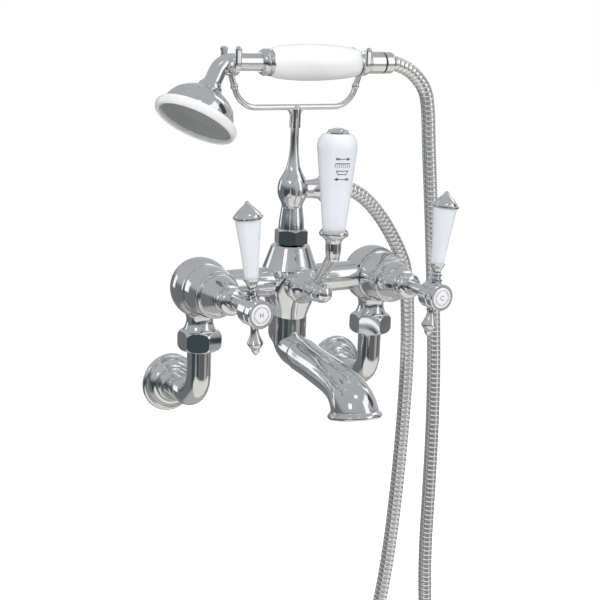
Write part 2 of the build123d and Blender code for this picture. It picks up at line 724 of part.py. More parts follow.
# Diverter: bonnet, cartridge and spindle in the body, ball, cranked arm, grip and rosette on the spindle
with BuildPart() as diverter_bonnet:
    turn(
        outward,
        [
            (0, BOSS),
            (DIVERTER_BONNET_R, BOSS),
            (DIVERTER_BONNET_R, BOSS + 1.8),
            (DIVERTER_BONNET_R - 1.0, BOSS + 2.8),
        ],
        (
            (0.5 * (DIVERTER_BONNET_R + DIVERTER_NECK_R), BOSS + 7.5),
            (DIVERTER_NECK_R + 1.0, DIVERTER_HOLLOW_END + 3.5),
            (DIVERTER_NECK_R, DIVERTER_BONNET_END - 2.5),
        ),
        [(DIVERTER_NECK_R, DIVERTER_BONNET_END), (0, DIVERTER_BONNET_END)],
    )
    turn(
        outward,
        [
            (0, BOSS),
            (DIVERTER_BONNET_R - BONNET_WALL, BOSS),
            (DIVERTER_NECK_R, DIVERTER_HOLLOW_END),
            (0, DIVERTER_HOLLOW_END),
        ],
        mode=Mode.SUBTRACT,
    )
    rod(outward, bonnet_hole_r, BOSS, DIVERTER_BONNET_END, mode=Mode.SUBTRACT)
save(diverter_bonnet, "diverter_bonnet")

with BuildPart() as diverter_cartridge:
    rod(outward, DIVERTER_CHAMBER_R - SLIP_GAP, SLIP_GAP - DIVERTER_CHAMBER_BACK, BOSS)
    rod(outward, DIVERTER_NECK_R - 1, BOSS, DIVERTER_HOLLOW_END - SLIP_GAP)
    rod(outward, bonnet_hole_r, SPINDLE_BACK - SLIP_GAP, DIVERTER_HOLLOW_END, mode=Mode.SUBTRACT)
save(diverter_cartridge, "diverter_cartridge")

with BuildPart() as diverter_spindle:
    rod(outward, SPINDLE_R, SPINDLE_BACK, DIVERTER_SPINDLE_END)
save(diverter_spindle, "diverter_spindle")

arm_foot = body_centre + Vector(0, -ARM_FOOT, ARM_FOOT_RISE)
arm_knee = body_centre + Vector(0, -ARM_OUT, ARM_KNEE)
arm_line = axis_frame(arm_foot, (arm_knee - arm_foot).normalized(), (1, 0, 0))
cup = axis_frame(body_centre + Vector(0, -ARM_OUT, 0), (0, 0, 1), (1, 0, 0))

with BuildPart() as diverter_ball:
    back = DIVERTER_BONNET_END + REST_GAP
    ball = DIVERTER_BALL_END - DIVERTER_BALL_R
    waist = ball - 0.6 * DIVERTER_BALL_R
    turn(
        outward,
        [(0, back), (0.66 * DIVERTER_HUB_R, back)],
        (
            (0.94 * DIVERTER_HUB_R, back + 0.26 * (waist - back)),
            (DIVERTER_HUB_R, back + 0.56 * (waist - back)),
            (0.82 * DIVERTER_HUB_R, waist),
        ),
        (
            (DIVERTER_BALL_R, ball),
            (0.77 * DIVERTER_BALL_R, ball + 0.64 * DIVERTER_BALL_R),
            (0.34 * DIVERTER_BALL_R, ball + 0.94 * DIVERTER_BALL_R),
            (0, DIVERTER_BALL_END),
        ),
    )
    rod(outward, bonnet_hole_r, back, DIVERTER_SPINDLE_END, mode=Mode.SUBTRACT)
    rod(arm_line, ARM_R + RUN_GAP, 0, DIVERTER_HUB_R, mode=Mode.SUBTRACT)
save(diverter_ball, "diverter_ball")

with BuildPart() as diverter_arm:
    arm_run = (arm_knee - arm_foot).length
    turn(
        arm_line,
        [(0, 0), (ARM_R, 0), (ARM_R, ARM_SOCKET), (ARM_KNEE_R, arm_run), (0, arm_run)],
    )
    with Locations(arm_knee):
        Sphere(ARM_KNEE_R)
    lip = DIVERTER_SEAT + DIVERTER_LIP
    flare = DIVERTER_CUP_R - STEM_R
    flare_foot = DIVERTER_SEAT - CUP_FLARE
    turn(
        cup,
        [(0, ARM_KNEE), (ARM_KNEE_R, ARM_KNEE), (STEM_R - 0.2, STEM_FOOT), (STEM_R, STEM_FOOT + 2.0)],
        [(STEM_R, flare_foot)],
        (
            (STEM_R + 0.16 * flare, flare_foot + 0.4 * CUP_FLARE),
            (STEM_R + 0.55 * flare, flare_foot + 0.78 * CUP_FLARE),
            (DIVERTER_CUP_R - 0.6, flare_foot + CUP_FLARE),
            (DIVERTER_CUP_R, flare_foot + CUP_FLARE + 1.4),
            (DIVERTER_CUP_R - 0.2, lip - 1.3),
            (DIVERTER_CUP_R - 1.4, lip),
        ),
        ((DIVERTER_GRIP_FOOT_R + 0.9, DIVERTER_SEAT + 0.8), (DIVERTER_GRIP_FOOT_R + SLIP_GAP, DIVERTER_SEAT)),
        [(0, DIVERTER_SEAT)],
    )
    rod(cup, ROD_R + SLIP_GAP, DIVERTER_ROD_END - SLIP_GAP, DIVERTER_SEAT, mode=Mode.SUBTRACT)
save(diverter_arm, "diverter_arm")

grip_top = DIVERTER_SEAT + DIVERTER_GRIP_LENGTH
with BuildPart() as diverter_grip:
    shoulder = grip_top - DIVERTER_SHOULDER
    turn(
        cup,
        [(0, DIVERTER_SEAT), (DIVERTER_GRIP_FOOT_R, DIVERTER_SEAT), (DIVERTER_GRIP_R - 0.3, shoulder - 3)],
        (
            (DIVERTER_GRIP_R, shoulder + 0.2 * DIVERTER_SHOULDER),
            (0.9 * DIVERTER_GRIP_R, shoulder + 0.68 * DIVERTER_SHOULDER),
            (0.68 * DIVERTER_GRIP_R, grip_top - 0.3),
        ),
        [(0.6 * DIVERTER_GRIP_R, grip_top), (0, grip_top)],
    )
    rod(cup, ROD_R + SLIP_GAP, DIVERTER_SEAT, grip_top, mode=Mode.SUBTRACT)
save(diverter_grip, "diverter_grip")

with BuildPart() as diverter_rosette:
    turn(
        cup,
        [(0, grip_top), (ROSETTE_R, grip_top), (ROSETTE_R, grip_top + 0.2 * ROSETTE_HEIGHT)],
        (
            (0.86 * ROSETTE_R, grip_top + 0.42 * ROSETTE_HEIGHT),
            (0.66 * ROSETTE_R, grip_top + 0.5 * ROSETTE_HEIGHT),
        ),
        [(0.6 * ROSETTE_R, grip_top + 0.75 * ROSETTE_HEIGHT)],
        ((0.4 * ROSETTE_R, grip_top + 0.93 * ROSETTE_HEIGHT), (0, grip_top + ROSETTE_HEIGHT)),
    )
    with Locations(Plane(origin=cup.origin + Vector(0, 0, grip_top + 0.4 * ROSETTE_HEIGHT))):
        with PolarLocations(0.8 * ROSETTE_R, ROSETTE_BEADS):
            Sphere(ROSETTE_BEAD_R)
    rod(cup, ROD_R, DIVERTER_ROD_END, grip_top)
save(diverter_rosette, "diverter_rosette")

# Riser
riser_nut_top = BELL_TOP + RISER_NUT_HEIGHT
riser_corner_r = RISER_NUT_FLATS / 2 / math.cos(math.radians(30))
with BuildPart() as riser_washer:
    ring(upright, RISER_TAIL_R + SLIP_GAP, RISER_WASHER_R, BELL_TOP - RISER_WASHER, BELL_TOP)
save(riser_washer, "riser_washer")

with BuildPart() as riser_nut:
    with BuildSketch(Plane.XY.offset(BODY_RISE + BELL_TOP)):
        with Locations((0, -STAND_OFF)):
            RegularPolygon(RISER_NUT_FLATS / 2, 6, major_radius=False, rotation=-90 - RISER_NUT_TURN)
    extrude(amount=RISER_NUT_HEIGHT)
    turn(
        upright,
        [
            (0, BELL_TOP),
            (RISER_NUT_END_R, BELL_TOP),
            (riser_corner_r, BELL_TOP + 2.0),
            (riser_corner_r, riser_nut_top - 2.0),
            (RISER_NUT_END_R, riser_nut_top),
            (0, riser_nut_top),
        ],
        mode=Mode.INTERSECT,
    )
    rod(upright, RISER_TAIL_R + SLIP_GAP, BELL_TOP, riser_nut_top, mode=Mode.SUBTRACT)
save(riser_nut, "riser_nut")

hose_side = axis_frame(body_centre + Vector(0, 0, RISER_BULB), (1, 0, 0), (0, 1, 0))
with BuildPart() as riser_column:
    waist = 0.5 * (riser_nut_top + RISER_BULB)
    rise = RISER_TOP - RISER_BULB
    spigot_top = RISER_TOP + SLEEVE_SPIGOT
    turn(
        upright,
        [
            (0, BELL_TOP - RISER_TAIL),
            (RISER_TAIL_R, BELL_TOP - RISER_TAIL),
            (RISER_TAIL_R, riser_nut_top),
            (RISER_FOOT_R, riser_nut_top),
        ],
        (
            (RISER_FOOT_R - 0.3, riser_nut_top + 6.0),
            (RISER_WAIST_R + 0.9, waist - 2.4),
            (RISER_WAIST_R + 0.4, waist + 1.6),
        ),
        [(RISER_WAIST_R, waist + 2.2)],
        (
            (RISER_WAIST_R + 0.6, waist + 5.0),
            (RISER_BULB_R - 0.9, RISER_BULB - 6.2),
            (RISER_BULB_R, RISER_BULB + 0.6),
            (0.88 * RISER_BULB_R, RISER_BULB + 0.16 * rise),
            (0.54 * RISER_BULB_R, RISER_BULB + 0.32 * rise),
            (0.38 * RISER_BULB_R, RISER_BULB + 0.47 * rise),
            (RISER_STEM_R + 0.5, RISER_BULB + 0.6 * rise),
            (RISER_STEM_R, RISER_TOP),
        ),
        [(SLEEVE_SPIGOT_R, RISER_TOP), (SLEEVE_SPIGOT_R, spigot_top), (0, spigot_top)],
    )
    turn(
        hose_side,
        [(0, 0), (OUTLET_R, 0), (OUTLET_R, RISER_BULB_R)],
        ((OUTLET_R + 0.3, 0.5 * (RISER_BULB_R + OUTLET_END) - 1), (OUTLET_LIP_R, OUTLET_END - 1.4)),
        [(OUTLET_LIP_R, OUTLET_END), (0, OUTLET_END)],
    )
    rod(hose_side, HOSE_THREAD_R, OUTLET_END, OUTLET_END + HOSE_THREAD_LENGTH)
    rod(upright, RISER_BORE_R, BELL_TOP - RISER_TAIL, RISER_BULB, mode=Mode.SUBTRACT)
    rod(hose_side, RISER_BORE_R, 0, OUTLET_END + HOSE_THREAD_LENGTH, mode=Mode.SUBTRACT)
save(riser_column, "riser_column")

# Cradle on the riser: a bar, two arms and two forks that the handset lies in
handset_centre = body_centre + Vector(0, 0, HANDSET_RISE)
fork_seat = HANDSET_RISE - COLLAR_GROOVE_R - REST_GAP - FORK_THICK / 2
with BuildPart() as cradle:
    turn(
        upright,
        [
            (SLEEVE_R, RISER_TOP),
            (SLEEVE_R, CRADLE_BAR - 2),
            (0.5 * SLEEVE_R, CRADLE_BAR + CRADLE_BAR_R - 0.4),
            (0, CRADLE_BAR + CRADLE_BAR_R - 0.4),
            (0, RISER_TOP),
        ],
    )
    # web between the sleeve and the bar
    with BuildSketch(Plane(origin=body_centre, x_dir=(1, 0, 0), z_dir=(0, -1, 0))):
        with BuildLine():
            foot = CRADLE_BAR - CRADLE_WEB
            waist = CRADLE_BAR - 0.45 * CRADLE_WEB
            top = CRADLE_BAR - 1.5
            half = CRADLE_WEB + 1
            ThreePointArc((-SLEEVE_R + 0.4, foot), (-SLEEVE_R - 1.0, waist), (-half, top))
            Line((-half, top), (half, top))
            ThreePointArc((half, top), (SLEEVE_R + 1.0, waist), (SLEEVE_R - 0.4, foot))
            Line((SLEEVE_R - 0.4, foot), (-SLEEVE_R + 0.4, foot))
        make_face()
    extrude(amount=0.8 * CRADLE_BAR_R, both=True)
    bar_end = body_centre + Vector(-fork_out, 0, fork_seat)
    bar_corner = body_centre + Vector(CRADLE_CORNER - fork_out, 0, CRADLE_BAR)
    with BuildLine() as bar_line:
        FilletPolyline(
            bar_end,
            bar_corner,
            body_centre + Vector(fork_out - CRADLE_CORNER, 0, CRADLE_BAR),
            body_centre + Vector(fork_out, 0, fork_seat),
            radius=CRADLE_BEND_R,
        )
    with BuildSketch(Plane(origin=bar_end, z_dir=bar_corner - bar_end)):
        Circle(CRADLE_BAR_R)
    sweep()
    for x in (-fork_out, fork_out):
        tip = body_centre + Vector(x, -FORK_HALF, FORK_TOP)
        with BuildLine():
            FilletPolyline(
                tip,
                body_centre + Vector(x, -FORK_HALF, fork_seat),
                body_centre + Vector(x, FORK_HALF, fork_seat),
                body_centre + Vector(x, FORK_HALF, FORK_TOP),
                radius=FORK_CORNER_R,
            )
        with BuildSketch(Plane(origin=tip, x_dir=(1, 0, 0), z_dir=(0, 0, -1))):
            RectangleRounded(FORK_BAND, FORK_THICK, 0.4 * FORK_THICK)
        sweep()
        with Locations(tip):
            Sphere(FORK_BALL_R)
        # the rear end is a flared pin
        pin = axis_frame(tip + Vector(0, 2 * FORK_HALF, 0), (0, 0, 1), (1, 0, 0))
        turn(
            pin,
            [(0, -FORK_PIN), (0.5 * FORK_THICK, -FORK_PIN), (FORK_PIN_R, -0.15 * FORK_PIN)],
            ((0.97 * FORK_PIN_R, 0), (0.6 * FORK_PIN_R, 0.12 * FORK_PIN), (0, 0.16 * FORK_PIN)),
        )
        bead = bar_line.line @ (CRADLE_BEAD_PLACE if x < 0 else 1 - CRADLE_BEAD_PLACE)
        with Locations(bead):
            Sphere(CRADLE_BEAD_R)
    rod(upright, SLEEVE_SPIGOT_R + SLIP_GAP, RISER_TOP, spigot_top + SLIP_GAP, mode=Mode.SUBTRACT)
save(cradle, "cradle")

# Handset: its axis runs level along +X, and the neck bends away in a plane that is rolled forward
handset = axis_frame(handset_centre, (1, 0, 0), (0, 1, 0))
roll = math.radians(HANDSET_ROLL)
bend = math.radians(NECK_TURN)
down = Vector(0, -math.sin(roll), -math.cos(roll))
neck_out = Vector(-math.cos(bend), 0, 0) + down * math.sin(bend)
tangent = NECK_BEND_R * math.tan(bend / 2)
neck_corner = handset_centre + Vector(NECK_START - fork_out - tangent, 0, 0)
neck_end = neck_corner + neck_out * (tangent + NECK_STRAIGHT)
face_centre = neck_end + neck_out * BELL_HEIGHT
head = axis_frame(face_centre, neck_out * -1, neck_out.cross(Vector(0, 1, 0)).normalized())
core_end = fork_out

with BuildPart() as handset_tube:
    start = handset_centre + Vector(-GRIP_START, 0, 0)
    with BuildLine():
        FilletPolyline(start, neck_corner, neck_end, radius=NECK_BEND_R)
    with BuildSketch(Plane(origin=start, z_dir=(-1, 0, 0))):
        Circle(TUBE_R)
        Circle(TUBE_BORE_R, mode=Mode.SUBTRACT)
    sweep()
    ring(handset, TUBE_BORE_R, CORE_R, -GRIP_START, core_end)
save(handset_tube, "handset_tube")

with BuildPart() as front_ferrule:
    bore = TUBE_R + SLIP_GAP
    turn(
        handset,
        [(bore, -GRIP_START), (HANDLE_END_R, -GRIP_START), (HANDLE_END_R, -GRIP_START - 0.09 * FERRULE)],
        (
            (0.9 * FERRULE_R, -GRIP_START - 0.16 * FERRULE),
            (FERRULE_R, -GRIP_START - 0.48 * FERRULE),
            (0.93 * FERRULE_R, -GRIP_START - 0.76 * FERRULE),
            (bore + 0.9, -GRIP_START - FERRULE),
        ),
        [(bore, -GRIP_START - FERRULE)],
    )
save(front_ferrule, "front_ferrule")

with BuildPart() as handset_grip:
    swell = HANDLE_MID_R - HANDLE_END_R
    turn(
        handset,
        [(CORE_R + SLIP_GAP, -GRIP_START), (HANDLE_END_R, -GRIP_START)],
        (
            (HANDLE_END_R + 0.5 * swell, -GRIP_START + 0.1 * HANDLE_LENGTH),
            (HANDLE_MID_R - 0.12 * swell, -GRIP_START + 0.28 * HANDLE_LENGTH),
            (HANDLE_MID_R, -GRIP_START + 0.48 * HANDLE_LENGTH),
            (HANDLE_MID_R - 0.22 * swell, -GRIP_START + 0.72 * HANDLE_LENGTH),
            (HANDLE_END_R + 0.42 * swell, -GRIP_START + 0.9 * HANDLE_LENGTH),
            (HANDLE_END_R, handle_end),
        ),
        [(CORE_R + SLIP_GAP, handle_end)],
    )
save(handset_grip, "handset_grip")

with BuildPart() as rear_collar:
    fork_back = fork_out + FORK_BAND / 2 + REST_GAP
    turn(
        handset,
        [
            (0, handle_end),
            (COLLAR_LIP_R, handle_end),
            (COLLAR_LIP_R, handle_end + COLLAR_LIP),
            (COLLAR_GROOVE_R, handle_end + COLLAR_LIP),
            (COLLAR_GROOVE_R, fork_back),
            (COLLAR_R - 0.5, fork_back),
            (COLLAR_R, fork_back + 1.0),
            (COLLAR_R, collar_end - 1.2),
            (COLLAR_R - 1.0, collar_end),
            (0, collar_end),
        ],
    )
    rod(handset, CORE_R + SLIP_GAP, handle_end, core_end, mode=Mode.SUBTRACT)
    rod(handset, TUBE_BORE_R, core_end, collar_end, mode=Mode.SUBTRACT)
save(rear_collar, "rear_collar")

tail_end = collar_end + TAIL_LENGTH
seal_end = tail_end + TAIL_SEAL
upper_nut_end = seal_end + UPPER_NUT_LENGTH
tail_thread_end = seal_end + 0.6 * UPPER_NUT_LENGTH
with BuildPart() as tail_piece:
    ring(handset, TUBE_BORE_R, TAIL_R, collar_end, tail_end)
    chamfer(tail_piece.edges().filter_by(GeomType.CIRCLE).sort_by(SortBy.RADIUS)[-2:], 0.5)
    ring(handset, TUBE_BORE_R, TAIL_THREAD_END_R, tail_end, tail_thread_end)
save(tail_piece, "tail_piece")

with BuildPart() as tail_seal:
    ring(handset, TAIL_THREAD_END_R + SLIP_GAP, TAIL_SEAL_R, tail_end, seal_end)
save(tail_seal, "tail_seal")

with BuildPart() as head_nut:
    bore = TUBE_R + SLIP_GAP
    turn(
        head,
        [
            (bore, BELL_HEIGHT),
            (HEAD_NUT_R, BELL_HEIGHT),
            (HEAD_NUT_R, BELL_HEIGHT + 0.25 * HEAD_NUT),
            (HEAD_NUT_R - 0.4, BELL_HEIGHT + 0.5 * HEAD_NUT),
        ],
        ((0.5 * (HEAD_NUT_R + bore), BELL_HEIGHT + 0.72 * HEAD_NUT), (bore + 0.7, BELL_HEIGHT + HEAD_NUT)),
        [(bore, BELL_HEIGHT + HEAD_NUT)],
    )
save(head_nut, "head_nut")

with BuildPart() as head_shell:
    depth = BELL_HEIGHT - BELL_SKIRT
    inside = BELL_R - BELL_WALL
    turn(
        head,
        [(inside, BELL_SKIRT), (BELL_R, BELL_SKIRT), (BELL_R, BELL_SKIRT + 0.12 * depth)],
        (
            (0.95 * BELL_R, BELL_SKIRT + 0.34 * depth),
            (0.82 * BELL_R, BELL_SKIRT + 0.6 * depth),
            (0.6 * BELL_R, BELL_SKIRT + 0.81 * depth),
            (0.39 * BELL_R, BELL_SKIRT + 0.95 * depth),
        ),
        [(HEAD_NUT_R + 0.4, BELL_HEIGHT), (0, BELL_HEIGHT), (0, BELL_HEIGHT - 3 * BELL_WALL)],
        (
            (0.36 * inside, BELL_SKIRT + 0.8 * depth),
            (0.72 * inside, BELL_SKIRT + 0.6 * depth),
            (inside, BELL_SKIRT + 0.12 * depth),
        ),
    )
    rod(head, TUBE_BORE_R, BELL_SKIRT, BELL_HEIGHT, mode=Mode.SUBTRACT)
save(head_shell, "head_shell")

with BuildPart() as head_ring:
    bore = BELL_R + SLIP_GAP
    rim = BELL_R + HEAD_RING_WIDTH
    turn(
        head,
        [(bore, HEAD_RING_FRONT + 0.5), (bore + 0.17 * HEAD_RING_WIDTH, HEAD_RING_FRONT)],
        (
            (rim - 0.5 * HEAD_RING_WIDTH, HEAD_RING_FRONT - 0.2),
            (rim - 0.11 * HEAD_RING_WIDTH, 0.1 * HEAD_RING_BACK),
            (rim, 0.45 * HEAD_RING_BACK),
            (rim - 0.13 * HEAD_RING_WIDTH, 0.8 * HEAD_RING_BACK),
            (rim - 0.47 * HEAD_RING_WIDTH, HEAD_RING_BACK),
        ),
        [(bore, HEAD_RING_BACK)],
    )
save(head_ring, "head_ring")

with BuildPart() as rose_plate:
    rose_front = face_centre + neck_out * (ROSE_THICK - BELL_SKIRT)
    with BuildSketch(Plane(origin=rose_front, x_dir=head.x_dir, z_dir=neck_out * -1)):
        Circle(BELL_R - SLIP_GAP)
        Circle(ROSE_HOLE_R, mode=Mode.SUBTRACT)
        for number in range(1, ROSE_RINGS + 1):
            with PolarLocations(number * ROSE_PITCH, number * ROSE_FIRST):
                Circle(ROSE_HOLE_R, mode=Mode.SUBTRACT)
    extrude(amount=ROSE_THICK)
save(rose_plate, "rose_plate")

# Hose nuts and their washers
lower_start = OUTLET_END + SLIP_GAP
lower_end = OUTLET_END + HOSE_NUT_LENGTH
lower_washer = OUTLET_END + HOSE_THREAD_LENGTH
with BuildPart() as hose_nut_lower:
    turn(
        hose_side,
        [
            (0, lower_start),
            (HOSE_NUT_R - 0.8, lower_start),
            (HOSE_NUT_R, lower_start + 0.8),
            (HOSE_NUT_R, lower_start + 0.5 * HOSE_NUT_LENGTH),
        ],
        ((0.9 * HOSE_NUT_R, lower_end - 0.3 * HOSE_NUT_LENGTH), (HOSE_NUT_END_R, lower_end)),
        [(0, lower_end)],
    )
    rod(hose_side, HOSE_THREAD_R + SLIP_GAP, lower_start, lower_washer + HOSE_WASHER, mode=Mode.SUBTRACT)
    rod(hose_side, HOSE_BORE_R, lower_washer, lower_end, mode=Mode.SUBTRACT)
save(hose_nut_lower, "hose_nut_lower")

with BuildPart() as hose_nut_upper:
    turn(
        handset,
        [
            (0, seal_end),
            (UPPER_NUT_R - 0.4, seal_end),
            (UPPER_NUT_R, seal_end + 0.4),
            (UPPER_NUT_R, seal_end + 0.66 * UPPER_NUT_LENGTH),
        ],
        ((0.93 * UPPER_NUT_R, upper_nut_end - 0.16 * UPPER_NUT_LENGTH), (HOSE_NUT_END_R, upper_nut_end)),
        [(0, upper_nut_end)],
    )
    rod(handset, TAIL_THREAD_END_R + SLIP_GAP, seal_end, tail_thread_end + HOSE_WASHER, mode=Mode.SUBTRACT)
    rod(handset, HOSE_BORE_R, seal_end, upper_nut_end, mode=Mode.SUBTRACT)
save(hose_nut_upper, "hose_nut_upper")

with BuildPart() as hose_washer_lower:
    ring(hose_side, RISER_BORE_R, HOSE_THREAD_R, lower_washer, lower_washer + HOSE_WASHER)
save(hose_washer_lower, "hose_washer_lower")

with BuildPart() as hose_washer_upper:
    ring(handset, TUBE_BORE_R, TAIL_THREAD_END_R, tail_thread_end, tail_thread_end + HOSE_WASHER)
save(hose_washer_upper, "hose_washer_upper")

# Spout, seated in the body's outlet
def spout_plane(out, height, slope):
    """A section's plane, its normal pointing down the spout."""
    angle = math.radians(slope)
    return Plane(
        origin=body_centre + Vector(0, -out, height),
        x_dir=(1, 0, 0),
        z_dir=(0, -math.cos(angle), -math.sin(angle)),
    )


spout_sections = ((SPOUT_START, start_height, SPOUT_SLOPE, SPOUT_TUBE_R), *SPOUT_SECTIONS)
mouth_out, mouth_height, mouth_slope, mouth_r = SPOUT_SECTIONS[-1]
mouth_plane = spout_plane(mouth_out, mouth_height, mouth_slope)
mouth = axis_frame(mouth_plane.origin, mouth_plane.z_dir, (1, 0, 0))
with BuildPart() as spout:
    rod(outlet, SPOUT_R, -SPIGOT_FOOT, -SPOUT_SOCKET - SLIP_GAP)
    turn(
        mouth,
        [(0, -LIP), (mouth_r - 0.4, -LIP)],
        ((mouth_r + 0.4, -0.72 * LIP), (LIP_R - 0.5, -0.5 * LIP), (LIP_R, -0.28 * LIP), (LIP_R - 0.9, 0)),
        [(0, 0)],
    )
    for shrink, mode in ((0, Mode.ADD), (SPOUT_WALL, Mode.SUBTRACT)):
        with BuildSketch(Plane(origin=spout_top, z_dir=(0, 0, -1))):
            Circle(SPOUT_TUBE_R - shrink)
        sweep(path=spout_line.wires()[0], mode=mode)
        for out, height, slope, radius in spout_sections:
            with BuildSketch(spout_plane(out, height, slope)):
                Circle(radius - shrink)
        loft(mode=mode)
    seal_foot = -SEAL_TOP - SEAL_HEIGHT
    turn(
        outlet,
        [(SEAL_GROOVE_R, -SEAL_TOP), (SPOUT_R, -SEAL_TOP), (SPOUT_R, seal_foot), (SEAL_GROOVE_R, seal_foot)],
        mode=Mode.SUBTRACT,
    )
save(spout, "spout")

with BuildPart() as spout_seal:
    ring(outlet, SEAL_GROOVE_R, SPOUT_R + RUN_GAP, seal_foot, -SEAL_TOP)
save(spout_seal, "spout_seal")

# Shower hose, ribbed, hanging in a loop between the outlet and the handset
hose_start = Vector(lower_end, -STAND_OFF, BODY_RISE + RISER_BULB)
hose_finish = handset_centre + Vector(upper_nut_end, 0, 0)
route = [hose_start, *(Vector(x, -STAND_OFF, BODY_RISE + z) for x, z in HOSE_ROUTE), hose_finish]
runs = [b - a for a, b in zip(route, route[1:])]
radii = [
    0.45 * min(before.length, after.length) / math.tan(math.radians(before.get_angle(after) / 2))
    for before, after in zip(runs, runs[1:])
]
with BuildLine() as hose_line:
    FilletPolyline(*route, radius=radii)
hose_path = hose_line.wires()[0]
hose_length = hose_path.length
end_share = 2 * HOSE_R / hose_length
rib = (1 - 2 * end_share) / HOSE_RIBS


hose_sections = [(0, HOSE_R)]
for number in range(HOSE_RIBS):
    at = end_share + number * rib
    hose_sections += [
        (at, HOSE_R),
        (at + 0.12 * rib, HOSE_ROOT_R),
        (at + 0.34 * rib, HOSE_ROOT_R),
        (at + 0.46 * rib, HOSE_R),
    ]
hose_sections.append((1, HOSE_R))

with BuildPart() as hose:
    for share, radius in hose_sections:
        with BuildSketch(Plane(origin=hose_path @ share, x_dir=(0, 1, 0), z_dir=hose_path % share)):
            Circle(radius)
    loft(ruled=True)
    with BuildSketch(Plane(origin=hose_path @ 0, x_dir=(0, 1, 0), z_dir=hose_path % 0)):
        Circle(HOSE_BORE_R)
    sweep(path=hose_path, mode=Mode.SUBTRACT)
save(hose, "hose")
print("hose length", round(hose_length, 1), "least radius", round(min(radii), 1))
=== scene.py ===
# Shower mixer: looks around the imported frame.
import json
import math

import bpy
import numpy as np
from mathutils import Matrix, Vector
from mathutils.bvhtree import BVHTree


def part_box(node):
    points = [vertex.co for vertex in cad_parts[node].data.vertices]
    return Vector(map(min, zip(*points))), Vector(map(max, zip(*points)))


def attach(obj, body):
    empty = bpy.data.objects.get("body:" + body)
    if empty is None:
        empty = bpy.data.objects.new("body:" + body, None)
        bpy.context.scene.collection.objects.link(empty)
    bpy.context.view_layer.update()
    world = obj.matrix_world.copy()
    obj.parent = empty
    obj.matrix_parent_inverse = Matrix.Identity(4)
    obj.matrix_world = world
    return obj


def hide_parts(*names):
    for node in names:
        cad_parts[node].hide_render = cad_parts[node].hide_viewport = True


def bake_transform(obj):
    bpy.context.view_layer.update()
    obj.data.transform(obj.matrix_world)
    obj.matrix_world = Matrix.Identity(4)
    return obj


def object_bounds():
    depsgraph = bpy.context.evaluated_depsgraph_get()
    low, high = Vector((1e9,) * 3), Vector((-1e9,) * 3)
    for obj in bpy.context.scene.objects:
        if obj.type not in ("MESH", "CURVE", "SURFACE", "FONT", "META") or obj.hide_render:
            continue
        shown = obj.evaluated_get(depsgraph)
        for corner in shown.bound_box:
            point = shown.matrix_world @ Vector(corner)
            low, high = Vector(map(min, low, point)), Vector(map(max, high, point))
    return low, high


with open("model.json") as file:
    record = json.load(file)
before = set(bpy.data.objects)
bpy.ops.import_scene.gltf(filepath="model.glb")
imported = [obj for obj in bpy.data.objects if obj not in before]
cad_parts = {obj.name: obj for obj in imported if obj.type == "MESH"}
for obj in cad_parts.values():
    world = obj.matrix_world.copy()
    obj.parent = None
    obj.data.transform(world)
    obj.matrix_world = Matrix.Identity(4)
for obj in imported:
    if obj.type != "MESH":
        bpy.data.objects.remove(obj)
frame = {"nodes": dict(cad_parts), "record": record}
cad_low, cad_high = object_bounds()
nodes = frame["nodes"]
scene = bpy.context.scene
scene.view_settings.view_transform = "Standard"

MM = 0.001
UPWARD = Vector((0, 0, 1))


# Directions: angles in degrees, with azimuth 0 towards -Y and 90 towards +X
def sine(degrees):
    return math.sin(math.radians(degrees))


def cosine(degrees):
    return math.cos(math.radians(degrees))


def tangent(degrees):
    return math.tan(math.radians(degrees))


def direction(azimuth, elevation=0):
    """Unit vector from the object out."""
    return Vector((
        sine(azimuth) * cosine(elevation),
        -cosine(azimuth) * cosine(elevation),
        sine(elevation),
    ))


def rightward(azimuth):
    """Level unit vector to the right of someone who stands at that azimuth and faces the object."""
    return Vector((cosine(azimuth), sine(azimuth), 0))


# Camera: fitted to the photograph, square image
VIEW_AZIMUTH = -30.24
VIEW_ELEVATION = 12.75
VIEW_ROLL = 2.15
VIEW_AT = (-0.6214, -1.1494, 0.3678)
LENS = 84.0
SENSOR = 36.0
CLIP_NEAR = 0.05
CLIP_FAR = 60


def place_camera():
    right = rightward(VIEW_AZIMUTH)
    back = direction(VIEW_AZIMUTH, VIEW_ELEVATION)
    across = cosine(VIEW_ROLL) * right + sine(VIEW_ROLL) * back.cross(right)
    above = back.cross(across)
    data = bpy.data.cameras.new("camera")
    data.lens = LENS
    data.sensor_width = SENSOR
    data.clip_start = CLIP_NEAR
    data.clip_end = CLIP_FAR
    camera = bpy.data.objects.new("camera", data)
    turn = Matrix((across, above, back)).transposed().to_4x4()
    camera.matrix_world = Matrix.Translation(VIEW_AT) @ turn
    scene.collection.objects.link(camera)
    scene.camera = camera


place_camera()


# Node helpers
def rgb(r, g, b):
    return (r, g, b, 1.0)


WHITE = rgb(1, 1, 1)
TINY = 0.0001  # keeps a divisor above zero


